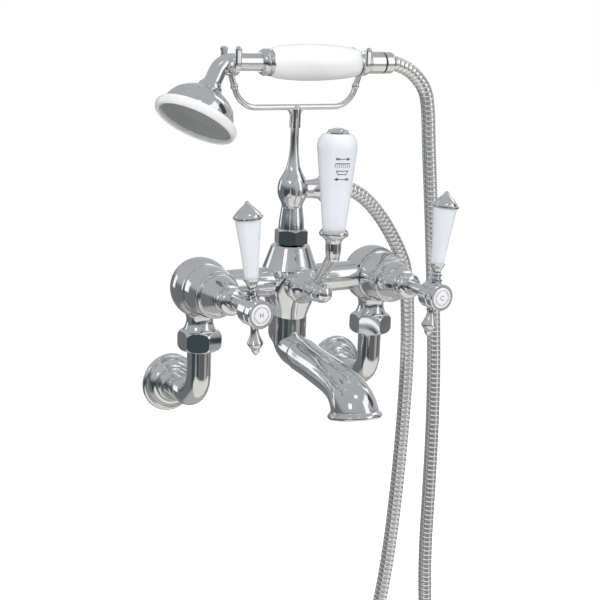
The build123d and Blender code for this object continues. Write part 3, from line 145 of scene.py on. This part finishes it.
class Tree:
    """A node tree with short ways to add and join nodes."""

    def __init__(self, tree):
        self.nodes = tree.nodes
        self.links = tree.links

    def add(self, kind, values=None, **settings):
        """values: the number or name of each input, and what goes into it."""
        node = self.nodes.new(kind)
        for key, setting in settings.items():
            setattr(node, key, setting)
        self.fill(node, values or {})
        return node

    def fill(self, node, values):
        for socket, value in values.items():
            self.put(value, node.inputs[socket])

    def put(self, value, socket):
        if isinstance(value, bpy.types.NodeSocket):
            self.links.new(value, socket)
        else:
            socket.default_value = value

    def math(self, operation, a, b=0.0):
        return self.add("ShaderNodeMath", {0: a, 1: b}, operation=operation).outputs[0]

    def dot(self, a, b):
        return self.add("ShaderNodeVectorMath", {0: a, 1: b}, operation="DOT_PRODUCT").outputs["Value"]

    def ramp(self, value, low, high, to_low=0.0, to_high=1.0):
        values = {"Value": value, "From Min": low, "From Max": high, "To Min": to_low, "To Max": to_high}
        return self.add("ShaderNodeMapRange", values, interpolation_type="SMOOTHSTEP").outputs["Result"]

    def mix(self, share, a, b):
        node = self.add("ShaderNodeMix", {"Factor": share, "A": a, "B": b}, data_type="RGBA")
        return node.outputs["Result"]


# World: a grey studio with white and dark panels, and white for the camera alone
# Each band: low edge, high edge, soft edge, azimuth, half width, soft side (degrees), colour
BANDS = (
    (-43, 7, 6, -100, 84, 12, (0.165, 0.170, 0.176)),
    (-43, 0, 6, 172, 18, 8, (0.22, 0.22, 0.225)),
    (-36, -1, 5, -62, 35, 4, (0.052, 0.068, 0.075)),
    (-29, -1, 5, 2, 24, 6, (0.125, 0.128, 0.127)),
    (-22, 0, 6, 35, 9, 6, (0.40, 0.395, 0.38)),
    (-34, 0, 6, 69, 17, 6, (0.088, 0.087, 0.085)),
    (-43, 0, 6, 99, 10, 6, (0.18, 0.182, 0.185)),
    (-8, 30, 8, 128, 30, 12, (0.52, 0.53, 0.54)),
)
# Each panel: azimuth, elevation, half width, half height, soft edge, turn (degrees), colour
PANELS = (
    (8, -58, 62, 28, 6, 0, (0.78, 0.765, 0.72)),
    (140, -8, 13, 12, 3, 0, (1.1, 1.1, 1.1)),
    (34, 20, 9, 24, 4, 0, (1.25, 1.25, 1.25)),
    (53, 38, 12, 9, 2, 12, (1.1, 1.1, 1.1)),
    (-146, 5, 8, 12, 2, 0, (1.1, 1.1, 1.1)),
    (-57, 31, 7, 6, 2, 0, (1.5, 1.5, 1.55)),
    (-12, 62, 7, 4, 2, 0, (1.3, 1.3, 1.3)),
    (100, 36, 6, 10, 2, 0, (1.3, 1.3, 1.3)),
    (77, 24, 10, 11, 2, 0, (0.07, 0.07, 0.065)),
)
PANEL_FADE = 0.05  # a panel ends where the ray turns away from it
ROOM_HIGH = rgb(0.45, 0.455, 0.47)
ROOM_MIDDLE = rgb(0.38, 0.385, 0.395)
ROOM_LOW = rgb(0.42, 0.415, 0.40)
# Heights between which one colour of the room turns into the next, as sines of the elevation
TURNS_HIGH = (-0.1, 0.5)
TURNS_LOW = (-0.3, -0.7)


def room_colour(tree, height):
    colour = tree.mix(tree.ramp(height, *TURNS_HIGH), ROOM_MIDDLE, ROOM_HIGH)
    return tree.mix(tree.ramp(height, *TURNS_LOW), colour, ROOM_LOW)


def band_mask(tree, ray, height, reach, low, high, soft, azimuth, wide, soft_side):
    """A stretch of the horizon; reach is the ray's level length."""
    facing = tree.math("DIVIDE", tree.dot(ray, direction(azimuth)), reach)
    within = tree.ramp(facing, cosine(wide + soft_side), cosine(wide - soft_side))
    above = tree.ramp(height, sine(low - soft), sine(low + soft))
    below = tree.ramp(height, sine(high - soft), sine(high + soft), 1.0, 0.0)
    return tree.math("MULTIPLY", within, tree.math("MULTIPLY", above, below))


def panel_mask(tree, ray, azimuth, elevation, wide, high, soft, turn):
    """A soft-edged rectangle that faces the object."""
    ahead = direction(azimuth, elevation)
    side = rightward(azimuth)
    spin = Matrix.Rotation(math.radians(turn), 3, ahead)
    depth = tree.math("MAXIMUM", tree.dot(ray, ahead), TINY)
    masks = []
    for axis, half in ((spin @ side, wide), (spin @ ahead.cross(side), high)):
        slope = tree.math("ABSOLUTE", tree.math("DIVIDE", tree.dot(ray, axis), depth))
        masks.append(tree.ramp(slope, tangent(half - soft), tangent(half + soft), 1.0, 0.0))
    return tree.math("MULTIPLY", tree.math("MULTIPLY", *masks), tree.ramp(depth, 0.0, PANEL_FADE))


def make_world():
    world = bpy.data.worlds.new("studio")
    world.use_nodes = True
    world.node_tree.nodes.clear()
    tree = Tree(world.node_tree)
    ray = tree.add("ShaderNodeTexCoord").outputs["Generated"]
    height = tree.add("ShaderNodeSeparateXYZ", {0: ray}).outputs["Z"]
    reach = tree.math("SQRT", tree.math("SUBTRACT", 1 + TINY, tree.math("MULTIPLY", height, height)))
    colour = room_colour(tree, height)
    for *shape, tint in BANDS:
        colour = tree.mix(band_mask(tree, ray, height, reach, *shape), colour, rgb(*tint))
    for *shape, tint in PANELS:
        colour = tree.mix(panel_mask(tree, ray, *shape), colour, rgb(*tint))
    seen = tree.add("ShaderNodeLightPath").outputs["Is Camera Ray"]
    colour = tree.mix(seen, colour, WHITE)
    background = tree.add("ShaderNodeBackground", {"Color": colour, "Strength": 1.0})
    tree.add("ShaderNodeOutputWorld", {"Surface": background.outputs[0]})
    scene.world = world


make_world()


# Lamps: large ones that metal doesn't show, for the porcelain and the shadow on the floor
LAMP_AIM = Vector((0, -0.08, 0.12))
LAMP_AWAY = 2.0
LAMP_SIZE = 1.6
# Each lamp: name, azimuth, elevation (degrees), watts
LAMPS = (
    ("fill_left", -75, 40, 24),
    ("fill_right", 40, 35, 21),
    ("fill_low", -25, -50, 14),
    ("fill_back", 165, 25, 14),
)


def soft_lamp(name, azimuth, elevation, watts):
    data = bpy.data.lights.new(name, "AREA")
    data.shape = "SQUARE"
    data.size = LAMP_SIZE
    data.energy = watts
    lamp = bpy.data.objects.new(name, data)
    away = direction(azimuth, elevation)
    lamp.location = LAMP_AIM + away * LAMP_AWAY
    lamp.rotation_mode = "QUATERNION"
    lamp.rotation_quaternion = away.to_track_quat("Z", "Y")
    lamp.visible_glossy = False
    lamp.visible_camera = False
    scene.collection.objects.link(lamp)


for lamp_row in LAMPS:
    soft_lamp(*lamp_row)


# Materials: noise scales are per metre, and depths of the bumps are in metres
NOISE_MIDDLE = (0.3, 0.7)  # a noise seldom leaves these values


class Surface(Tree):
    """A material with one shader, and noises laid in the object's own space."""

    def __init__(self, name):
        self.material = bpy.data.materials.new(name)
        self.material.use_nodes = True
        self.material.node_tree.nodes.clear()
        super().__init__(self.material.node_tree)
        self.shader = self.add("ShaderNodeBsdfPrincipled")
        self.out = self.add("ShaderNodeOutputMaterial", {"Surface": self.shader.outputs[0]})
        self.place = self.add("ShaderNodeTexCoord").outputs["Object"]

    def noise(self, scale, detail=3.0, rough=0.5):
        values = {"Vector": self.place, "Scale": scale, "Detail": detail, "Roughness": rough}
        return self.add("ShaderNodeTexNoise", values).outputs["Fac"]

    def spread(self, noise, to_low=0.0, to_high=1.0):
        """Stretches the middle values of a noise over a whole range."""
        return self.ramp(noise, *NOISE_MIDDLE, to_low, to_high)

    def bump(self, *layers):
        """Each layer is a height and the depth that it stands for."""
        normal = None
        for height, depth in layers:
            node = self.add("ShaderNodeBump", {"Height": height, "Distance": depth, "Strength": 1.0})
            if normal is not None:
                self.put(normal, node.inputs["Normal"])
            normal = node.outputs[0]
        self.put(normal, self.shader.inputs["Normal"])


METAL_CLOUDS = 55.0
METAL_GRAIN = 900.0
METAL_SWELL = 48.0
METAL_GRAIN_DEPTH = 0.000001
METAL_MIDDLE = (0.35, 0.65)  # the same for the mean of the clouds and the grain


def metal(name, dark, light, rough, wave=0.000012, metallic=1.0):
    """rough: the lowest and the highest roughness; wave: the depth of the swell."""
    surface = Surface(name)
    cloud = surface.noise(METAL_CLOUDS)
    grain = surface.noise(METAL_GRAIN, detail=4.0, rough=0.6)
    mixed = surface.math("MULTIPLY", surface.math("ADD", cloud, grain), 0.5)
    surface.fill(surface.shader, {
        "Metallic": metallic,
        "Base Color": surface.mix(surface.spread(cloud), rgb(*dark), rgb(*light)),
        "Roughness": surface.ramp(mixed, *METAL_MIDDLE, *rough),
    })
    surface.bump((surface.noise(METAL_SWELL, detail=1.0), wave), (grain, METAL_GRAIN_DEPTH))
    return surface.material


CHROME = metal("chrome", (0.83, 0.84, 0.86), (0.88, 0.89, 0.90), (0.035, 0.075))
CHROME_CAST = metal("chrome_cast", (0.80, 0.81, 0.83), (0.87, 0.88, 0.89), (0.05, 0.10), wave=0.00002)
BRASS = metal("brass", (0.62, 0.45, 0.20), (0.70, 0.53, 0.27), (0.2, 0.32))
ROSE = metal(
    "rose_steel", (0.40, 0.415, 0.43), (0.44, 0.455, 0.47), (0.38, 0.48), wave=0.00001, metallic=0.5
)

GLAZE_CLOUDS = 38.0
GLAZE_RIPPLE = 70.0
GLAZE_ROUGH = (0.07, 0.13)
GLAZE_COAT_ROUGH = 0.03
GLAZE_IOR = 1.5
# Specks: noise scale, the noise's reach that makes them, their strength and their colour
SPECKS = 2200.0
SPECK_REACH = (0.70, 0.80)
SPECK_SHARE = 0.12
SPECK_TINT = rgb(0.55, 0.55, 0.54)


def glaze(name, low, high, coat=0.6, depth=0.00004):
    """low, high: the two colours of the clouds; depth: that of the ripple."""
    surface = Surface(name)
    cloud = surface.noise(GLAZE_CLOUDS)
    speck = surface.ramp(surface.noise(SPECKS, detail=2.0, rough=0.7), *SPECK_REACH, 0.0, SPECK_SHARE)
    shade = surface.mix(surface.spread(cloud), rgb(*low), rgb(*high))
    surface.fill(surface.shader, {
        "Base Color": surface.mix(speck, shade, SPECK_TINT),
        "Roughness": surface.spread(cloud, *GLAZE_ROUGH),
        "Coat Weight": coat,
        "Coat Roughness": GLAZE_COAT_ROUGH,
        "IOR": GLAZE_IOR,
    })
    surface.bump((surface.noise(GLAZE_RIPPLE, detail=1.0), depth))
    return surface.material


PORCELAIN = glaze("porcelain", (0.80, 0.83, 0.88), (0.84, 0.87, 0.91))
PORCELAIN_WARM = glaze("porcelain_handle", (0.86, 0.87, 0.88), (0.90, 0.905, 0.91))
ENAMEL = glaze("enamel", (0.84, 0.85, 0.88), (0.88, 0.89, 0.91), coat=0.8, depth=0.00001)

PLAIN_CLOUDS = 400.0
PLAIN_DEPTH = 0.00001
PLAIN_SWING = 0.06  # the roughness goes as far as this to either side


def plain(name, low, high, rough):
    surface = Surface(name)
    cloud = surface.noise(PLAIN_CLOUDS, detail=4.0)
    surface.fill(surface.shader, {
        "Base Color": surface.mix(cloud, rgb(*low), rgb(*high)),
        "Roughness": surface.spread(cloud, rough - PLAIN_SWING, rough + PLAIN_SWING),
    })
    surface.bump((cloud, PLAIN_DEPTH))
    return surface.material


RUBBER = plain("rubber", (0.012, 0.012, 0.013), (0.03, 0.03, 0.032), 0.5)
PRINT = plain("print", (0.03, 0.03, 0.035), (0.06, 0.06, 0.07), 0.35)
# Painted shade: the dark colour of the nozzle discs stands in for the shade inside holes
HOLE_SHADE = plain("hole_shade", (0.05, 0.05, 0.055), (0.09, 0.09, 0.095), 0.5)

HOSE_RIDGE_TINT = rgb(0.97, 0.975, 0.98)
# The grooves' tint is painted shade, darker than the chrome of the ridges
HOSE_GROOVE_SHADE_TINT = rgb(0.40, 0.40, 0.41)
HOSE_METALLIC = 0.88
HOSE_ROUGH = (0.10, 0.16)
HOSE_GRAIN = 1500.0
HOSE_GRAIN_DEPTH = 0.000003


def hose_metal():
    """Painted shade: the base colour is darker in the grooves, by a share that the mesh carries as an
    attribute.
    """
    surface = Surface("hose_chrome")
    groove_shade = surface.add("ShaderNodeAttribute", attribute_name="groove_shade").outputs["Fac"]
    grain = surface.noise(HOSE_GRAIN)
    surface.fill(surface.shader, {
        "Metallic": HOSE_METALLIC,
        # Painted shade: the colour turns darker in the grooves
        "Base Color": surface.mix(groove_shade, HOSE_RIDGE_TINT, HOSE_GROOVE_SHADE_TINT),
        "Roughness": surface.spread(grain, *HOSE_ROUGH),
    })
    surface.bump((grain, HOSE_GRAIN_DEPTH))
    return surface.material


HOSE_METAL = hose_metal()

SLOT_LOOKS = {
    "rubber": RUBBER,
    "brass": BRASS,
    "porcelain": PORCELAIN,
    "enamel": ENAMEL,
    "rose": ROSE,
    "chrome": CHROME,
    "hose": HOSE_METAL,
}
CAST_NODES = ("mixer_body", "spout", "cradle", "riser_column", "elbow_left", "elbow_right", "head_shell")
WARM_NODES = ("handset_grip", "head_ring")
NODE_LOOKS = {**dict.fromkeys(CAST_NODES, CHROME_CAST), **dict.fromkeys(WARM_NODES, PORCELAIN_WARM)}


def dress_nodes():
    slot_of = {part["node"]: part["material_slot"] for part in frame["record"]["subparts"]}
    for name, node in nodes.items():
        node.data.materials.clear()
        node.data.materials.append(NODE_LOOKS.get(name, SLOT_LOOKS[slot_of[name]]))


dress_nodes()


# Mesh helpers
def mesh_object(name, points, faces, material, smooth=True):
    mesh = bpy.data.meshes.new(name)
    mesh.from_pydata([tuple(p) for p in points], [], faces)
    mesh.validate()
    mesh.polygons.foreach_set("use_smooth", [smooth] * len(mesh.polygons))
    mesh.materials.append(material)
    mesh.update()
    obj = bpy.data.objects.new(name, mesh)
    scene.collection.objects.link(obj)
    return obj


def ring_faces(rings, around):
    """Quads between neighbouring rings of points, and a cap on the first ring and the last."""
    faces = []
    for ring in range(rings - 1):
        here = ring * around
        ahead = here + around
        for k in range(around):
            n = (k + 1) % around
            faces.append((here + k, here + n, ahead + n, ahead + k))
    last = (rings - 1) * around
    faces.append(tuple(reversed(range(around))))
    faces.append(tuple(range(last, last + around)))
    return faces


def box_middle(node):
    low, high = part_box(node)
    return (low + high) / 2


# Hose: its route's points are in millimetres, with heights above the cross bar
HOSE_DEPTH = -0.063
BAR_RISE = 103.0
HOSE_PITCH = 0.0048
HOSE_OUT = 0.0068
HOSE_IN = 0.0059
HOSE_ROUND = 28
HOSE_STEPS = 8  # rings to one winding
HOSE_FINENESS = 48
SAME_POINT = 1e-7
# Radius and painted groove shade over one winding, at even steps
HOSE_PROFILE = np.array((
    (0.34, 1.0), (0.84, 0.12), (1.0, 0.0), (0.98, 0.0),
    (0.86, 0.0), (0.66, 0.3), (0.86, 0.0), (0.68, 0.3),
))
HOSE_POINTS = (
    (44.0, 83.2), (56.0, 83.0), (70.0, 77.5), (84.0, 67.0), (97.0, 53.0), (108.5, 37.5), (119.0, 20.5),
    (127.5, 3.0), (132.5, -34.0), (135.5, -92.0), (134.2, -160.0), (130.8, -228.0), (125.3, -293.0),
    (116.5, -350.0), (103.0, -404.0), (93.5, -455.0), (92.0, -509.0), (121.0, -538.0), (161.0, -538.5),
    (190.0, -509.0), (188.5, -455.0), (180.5, -404.0), (173.6, -350.0), (170.3, -293.0), (170.6, -228.0),
    (170.2, -160.0), (167.6, -95.0), (163.0, -40.0), (157.5, 20.0), (151.5, 76.0), (146.5, 120.0),
    (143.6, 153.0), (139.5, 171.5), (127.0, 185.5), (112.0, 194.0), (100.6, 196.4),
)


def route_line(route):
    """Points of the smooth spline that has the route's points as its control points, in metres."""
    data = bpy.data.curves.new("hose_line", "CURVE")
    data.dimensions = "3D"
    spline = data.splines.new("NURBS")
    spline.points.add(len(route) - 1)
    for point, (x, z) in zip(spline.points, route):
        point.co = (x * MM, HOSE_DEPTH, (z + BAR_RISE) * MM, 1)
    spline.order_u = 3
    spline.use_endpoint_u = True
    spline.resolution_u = HOSE_FINENESS
    holder = bpy.data.objects.new("hose_line", data)
    scene.collection.objects.link(holder)
    mesh = bpy.data.meshes.new_from_object(holder)
    found = np.array([v.co for v in mesh.vertices])
    bpy.data.objects.remove(holder)
    bpy.data.meshes.remove(mesh)
    bpy.data.curves.remove(data)
    return found


def gaps(line):
    return np.linalg.norm(np.diff(line, axis=0), axis=1)


def ring_centres(line):
    """Points at even steps along the line, HOSE_STEPS to each winding."""
    line = line[np.concatenate(([True], gaps(line) > SAME_POINT))]
    along = np.concatenate(([0], np.cumsum(gaps(line))))
    rings = int(along[-1] / HOSE_PITCH * HOSE_STEPS)
    at = np.linspace(0, along[-1], rings + 1)
    return np.stack([np.interp(at, along, line[:, k]) for k in range(3)], axis=1)


def profile_at(windings):
    """Radius and painted groove shade at places that are counted in windings."""
    count = len(HOSE_PROFILE)
    phase = windings % 1.0 * count
    low = phase.astype(int) % count
    share = (phase - np.floor(phase))[:, None]
    return HOSE_PROFILE[low] * (1 - share) + HOSE_PROFILE[(low + 1) % count] * share


def wound_rings(centre):
    """Points of the wound tube round the ring centres, and the painted groove shade of each."""
    ahead = np.gradient(centre, axis=0)
    ahead /= np.linalg.norm(ahead, axis=1)[:, None]
    across = np.array([0.0, 1.0, 0.0])
    outward = np.cross(ahead, across)
    share = np.arange(HOSE_ROUND) / HOSE_ROUND
    cosines = np.cos(2 * math.pi * share)[:, None]
    sines = np.sin(2 * math.pi * share)[:, None]
    points = []
    groove_shade = []
    for i, middle in enumerate(centre):
        level = profile_at(i / HOSE_STEPS + share)
        radius = (HOSE_IN + (HOSE_OUT - HOSE_IN) * level[:, 0])[:, None]
        ring = middle + radius * cosines * across + radius * sines * outward[i]
        points.extend(ring.tolist())
        groove_shade.extend(level[:, 1].tolist())
    return points, groove_shade


def make_hose():
    centre = ring_centres(route_line(HOSE_POINTS))
    points, groove_shade = wound_rings(centre)
    hose = mesh_object("ribbed_hose", points, ring_faces(len(centre), HOSE_ROUND), HOSE_METAL)
    # The painted shade of the grooves goes on the mesh as a point attribute
    groove_shade_layer = hose.data.attributes.new("groove_shade", "FLOAT", "POINT")
    groove_shade_layer.data.foreach_set("value", groove_shade)
    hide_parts("hose")
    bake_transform(hose)


make_hose()


# Marks: thin raised prints laid on the surface of a node, drawn in millimetres with y upwards
PRINT_HIGH = 0.00005
PRINT_DEEP = 0.0002
PRINT_REACH = 0.03  # how far in front of the surface the rays start that find it
STROKE_PIECE = 0.9
STROKE_END = 0.3  # a stroke runs on past its ends by this share of its width


def ray_tester(target):
    """Finds points on one CAD node."""
    mesh = nodes[target].data
    corners = [v.co for v in mesh.vertices]
    return BVHTree.FromPolygons(corners, [tuple(p.vertices) for p in mesh.polygons])


def stroke(points, width):
    """Short quads along a line of points, so that a print can follow a round surface."""
    quads = []
    for (ax, ay), (bx, by) in zip(points, points[1:]):
        run = math.hypot(bx - ax, by - ay)
        dx, dy = (bx - ax) / run, (by - ay) / run
        sx, sy = -dy * width / 2, dx * width / 2
        pieces = max(1, round(run / STROKE_PIECE))
        for k in range(pieces):
            p = k / pieces * run - (STROKE_END * width if k == 0 else 0)
            q = (k + 1) / pieces * run + (STROKE_END * width if k == pieces - 1 else 0)
            quads.append([
                (ax + dx * p - sx, ay + dy * p - sy),
                (ax + dx * q - sx, ay + dy * q - sy),
                (ax + dx * q + sx, ay + dy * q + sy),
                (ax + dx * p + sx, ay + dy * p + sy),
            ])
    return quads


def arc(radius, start, end, steps):
    turns = [start + (end - start) * k / steps for k in range(steps + 1)]
    return [(radius * cosine(t), radius * sine(t)) for t in turns]


def lay_print(name, body, target, at, outward, shapes):
    tree = ray_tester(target)
    right = UPWARD.cross(outward)
    points = []
    faces = []
    for shape in shapes:
        tops = []
        bottoms = []
        for x, y in shape:
            start = at + right * (x * MM) + UPWARD * (y * MM) + outward * PRINT_REACH
            place, normal, _, _ = tree.ray_cast(start, -outward)
            tops.append(place + normal * PRINT_HIGH)
            bottoms.append(place - normal * PRINT_DEEP)
        base = len(points)
        count = len(shape)
        points.extend(tops + bottoms)
        faces.append(tuple(base + k for k in range(count)))
        faces.append(tuple(base + count + k for k in reversed(range(count))))
        for k in range(count):
            n = (k + 1) % count
            faces.append((base + n, base + k, base + count + k, base + count + n))
    piece = mesh_object(name, points, faces, PRINT, smooth=False)
    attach(piece, body)


# Marks on the diverter's grip: an arrow, a spray, a tub and an arrow back, from the top down
DIVERTER_AT = Vector((0, -137.0, 103.0)) * MM
MARKS_AZIMUTH = -13.0
ARROW_HEIGHTS = (122.0, 104.6)
ARROW_TAIL = -6.0
ARROW_NECK = 3.4
ARROW_SHAFT_END = 3.6
ARROW_SHAFT = 0.6
HEAD_STRIPS = 4
HEAD_STRIP = 0.8
HEAD_HALF = 1.4
HEAD_FALL = 0.34  # how much each strip of the head is lower than the one before
FEATHERS = 3
FEATHER_STEP = 1.1
FEATHER = 0.9  # its length and its height
THIN_STROKE = 0.5
SPRAY_BAR = 118.0
SPRAY_BAR_HALF = 6.2
SPRAY_BAR_STROKE = 0.8
SPRAY_COLUMNS = 8
SPRAY_HALF = 6.0
SPRAY_FAN = 1.08
DROP_ROWS = 2
DROP_TOP = 116.9
DROP_STEP = 1.25
DROP_STAGGER = 0.25
DROP_LENGTH = 0.65
TUB_RIM = 111.8
TUB_RIM_HALF = 5.4
TUB_RIM_STROKE = 0.7
TUB_SIDE = ((4.8, 111.6), (4.3, 109.9), (3.1, 109.0))
TUB_STROKE = 0.6
TUB_FOOT = ((3.0, 108.9), (3.3, 108.1))
TUB_FOOT_STROKE = 0.55


def arrow(y, way):
    """A feathered arrow; way is 1 to the right and -1 to the left."""
    def turned(points):
        return [(way * px, y + py) for px, py in points]

    # The head is cut in strips that follow the round grip
    shapes = []
    for k in range(HEAD_STRIPS):
        near = ARROW_NECK + HEAD_STRIP * k
        far = near + HEAD_STRIP
        tall = HEAD_HALF - HEAD_FALL * k
        short = tall - HEAD_FALL
        strip = turned([(near, tall), (near, -tall), (far, -short), (far, short)])
        shapes.append(strip if way > 0 else strip[::-1])
    shapes += stroke(turned([(ARROW_TAIL, 0), (ARROW_SHAFT_END, 0)]), ARROW_SHAFT)
    for k in range(FEATHERS):
        back = ARROW_TAIL + FEATHER_STEP * k
        for rise in (-FEATHER, FEATHER):
            shapes += stroke(turned([(back, rise), (back + FEATHER, 0)]), THIN_STROKE)
    return shapes


def spray():
    """A bar with drops below it."""
    shapes = stroke([(-SPRAY_BAR_HALF, SPRAY_BAR), (SPRAY_BAR_HALF, SPRAY_BAR)], SPRAY_BAR_STROKE)
    for column in range(SPRAY_COLUMNS):
        x = -SPRAY_HALF + 2 * SPRAY_HALF / (SPRAY_COLUMNS - 1) * column
        for drop in range(DROP_ROWS):
            top = DROP_TOP - DROP_STEP * drop - DROP_STAGGER * (column % 2)
            shapes += stroke([(x, top), (x * SPRAY_FAN, top - DROP_LENGTH)], THIN_STROKE)
    return shapes


def tub():
    """A rim over a rounded bowl on two feet."""
    def mirrored(points):
        return [(-x, y) for x, y in points]

    shapes = stroke([(-TUB_RIM_HALF, TUB_RIM), (TUB_RIM_HALF, TUB_RIM)], TUB_RIM_STROKE)
    shapes += stroke(mirrored(TUB_SIDE) + list(reversed(TUB_SIDE)), TUB_STROKE)
    for foot in (mirrored(TUB_FOOT), TUB_FOOT):
        shapes += stroke(foot, TUB_FOOT_STROKE)
    return shapes


lay_print(
    "diverter_marks", "diverter_lever", "diverter_grip", DIVERTER_AT, direction(MARKS_AZIMUTH),
    arrow(ARROW_HEIGHTS[0], 1) + arrow(ARROW_HEIGHTS[1], -1) + spray() + tub(),
)

# Marks on the two discs: a ring, four dashes and a letter
DISC_RING_R = 6.9
DISC_RING_STROKE = 0.3
DISC_RING_STEPS = 56
DASH_R = 5.9
DASH_STARTS = (10, 100, 190, 280)
DASH_SWEEP = 70
DASH_STROKE = 0.22
DASH_STEPS = 12
LETTER_HALF = 1.3
LETTER_RISE = 1.9
LETTER_GAP = 48  # half the angle that the letter C leaves open
LETTER_STROKE = 0.5
LETTER_STEPS = 16


def letter_h():
    shapes = []
    for x in (-LETTER_HALF, LETTER_HALF):
        shapes += stroke([(x, -LETTER_RISE), (x, LETTER_RISE)], LETTER_STROKE)
    return shapes + stroke([(-LETTER_HALF, 0), (LETTER_HALF, 0)], LETTER_STROKE)


def letter_c():
    return stroke(arc(LETTER_RISE, LETTER_GAP, 360 - LETTER_GAP, LETTER_STEPS), LETTER_STROKE)


def disc_ring():
    shapes = stroke(arc(DISC_RING_R, 0, 360, DISC_RING_STEPS), DISC_RING_STROKE)
    for start in DASH_STARTS:
        shapes += stroke(arc(DASH_R, start, start + DASH_SWEEP, DASH_STEPS), DASH_STROKE)
    return shapes


for side, letter in (("left", letter_h), ("right", letter_c)):
    lay_print(
        f"index_marks_{side}", f"{side}_lever", f"index_disc_{side}", box_middle(f"index_disc_{side}"),
        direction(0), disc_ring() + letter(),
    )


# Shower face: a plate with fine nozzle holes, drawn as thin dark discs whose colour is painted shade
HEAD_ROLL = 13.6
HEAD_TURN = 59.6
FACE_OUT = Vector((
    -cosine(HEAD_TURN),
    -sine(HEAD_TURN) * sine(HEAD_ROLL),
    -sine(HEAD_TURN) * cosine(HEAD_ROLL),
))
FACE_SIDE = FACE_OUT.cross(Vector((0, 1, 0))).normalized()
FACE_UP = FACE_OUT.cross(FACE_SIDE)
PLATE_HALF = 0.0007
PLATE_R = 0.0324
PLATE_ROUND = 96
PLATE_MIDDLE_R = 0.0002
# The outer edge is bevelled by this much across and down
PLATE_BEVEL = (0.0006, 0.0004)
NOZZLE_RINGS = 10
NOZZLES_MORE = 6  # each ring has this many more nozzles than the ring inside it
NOZZLE_PITCH = 0.0029
NOZZLE_SWIRL = 0.03
NOZZLE_R = 0.00055
NOZZLE_ROUND = 8
NOZZLE_MIDDLE_R = 0.0001
NOZZLE_HIGH = 0.00003
NOZZLE_DEEP = 0.0002


def on_face(turn):
    """Unit vector in the plane of the shower face; turn is in radians."""
    return FACE_SIDE * math.cos(turn) + FACE_UP * math.sin(turn)


def turned_disc(centre, profile, around):
    """A turned form on the face: profile is (radius, height) pairs from front to back."""
    points = []
    for radius, height in profile:
        for k in range(around):
            points.append(centre + on_face(2 * math.pi * k / around) * radius + FACE_OUT * height)
    return points, [face[::-1] for face in ring_faces(len(profile), around)]


def make_rose_face():
    across, down = PLATE_BEVEL
    profile = (
        (PLATE_MIDDLE_R, PLATE_HALF),
        (PLATE_R - across, PLATE_HALF),
        (PLATE_R, PLATE_HALF - down),
        (PLATE_R, -PLATE_HALF),
        (PLATE_MIDDLE_R, -PLATE_HALF),
    )
    points, faces = turned_disc(box_middle("rose_plate"), profile, PLATE_ROUND)
    plate = mesh_object("rose_face", points, faces, ROSE)
    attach(plate, "handset")
    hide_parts("rose_plate")


def make_nozzles():
    front = box_middle("rose_plate") + FACE_OUT * PLATE_HALF
    profile = (
        (NOZZLE_MIDDLE_R, NOZZLE_HIGH),
        (NOZZLE_R, NOZZLE_HIGH),
        (NOZZLE_R, -NOZZLE_DEEP),
        (NOZZLE_MIDDLE_R, -NOZZLE_DEEP),
    )
    points = []
    faces = []
    for ring in range(NOZZLE_RINGS + 1):
        count = max(1, NOZZLES_MORE * ring)
        for k in range(count):
            turn = 2 * math.pi * (k / count + NOZZLE_SWIRL * ring)
            spot = front + on_face(turn) * (NOZZLE_PITCH * ring)
            found, made = turned_disc(spot, profile, NOZZLE_ROUND)
            base = len(points)
            points.extend(found)
            faces.extend(tuple(base + i for i in face) for face in made)
    # Painted shade: dark discs on the face in place of real holes
    hole_shades = mesh_object("rose_nozzles", points, faces, HOLE_SHADE, smooth=False)
    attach(hole_shades, "handset")


make_rose_face()
make_nozzles()


# Floor: only the camera sees it, so that the metal doesn't mirror it, and it takes the shadow
FLOOR_DROP = 0.30
FLOOR_HALF = 12.0
FLOOR_GLOW = 0.6
FLOOR_CLOUDS = 3.0
FLOOR_ROUGH = 0.9
FLOOR_SPECULAR = 0.1
FLOOR_DARK = rgb(0.80, 0.80, 0.80)
FLOOR_LIGHT = rgb(0.82, 0.82, 0.82)


def floor_material():
    surface = Surface("floor")
    surface.fill(surface.shader, {
        "Base Color": surface.mix(surface.noise(FLOOR_CLOUDS), FLOOR_DARK, FLOOR_LIGHT),
        "Roughness": FLOOR_ROUGH,
        "Specular IOR Level": FLOOR_SPECULAR,
    })
    glow = surface.add("ShaderNodeEmission", {"Color": WHITE, "Strength": FLOOR_GLOW})
    seen = surface.add("ShaderNodeLightPath").outputs["Is Camera Ray"]
    lit = surface.add("ShaderNodeAddShader", {0: surface.shader.outputs[0], 1: glow.outputs[0]})
    clear = surface.add("ShaderNodeBsdfTransparent")
    shown = surface.add("ShaderNodeMixShader", {0: seen, 1: clear.outputs[0], 2: lit.outputs[0]})
    surface.put(shown.outputs[0], surface.out.inputs["Surface"])
    return surface.material


def make_floor():
    level = cad_low.z - FLOOR_DROP
    signs = ((-1, -1), (1, -1), (1, 1), (-1, 1))
    corners = [(FLOOR_HALF * x, FLOOR_HALF * y, level) for x, y in signs]
    floor = mesh_object("floor", corners, [(0, 1, 2, 3)], floor_material(), smooth=False)


make_floor()
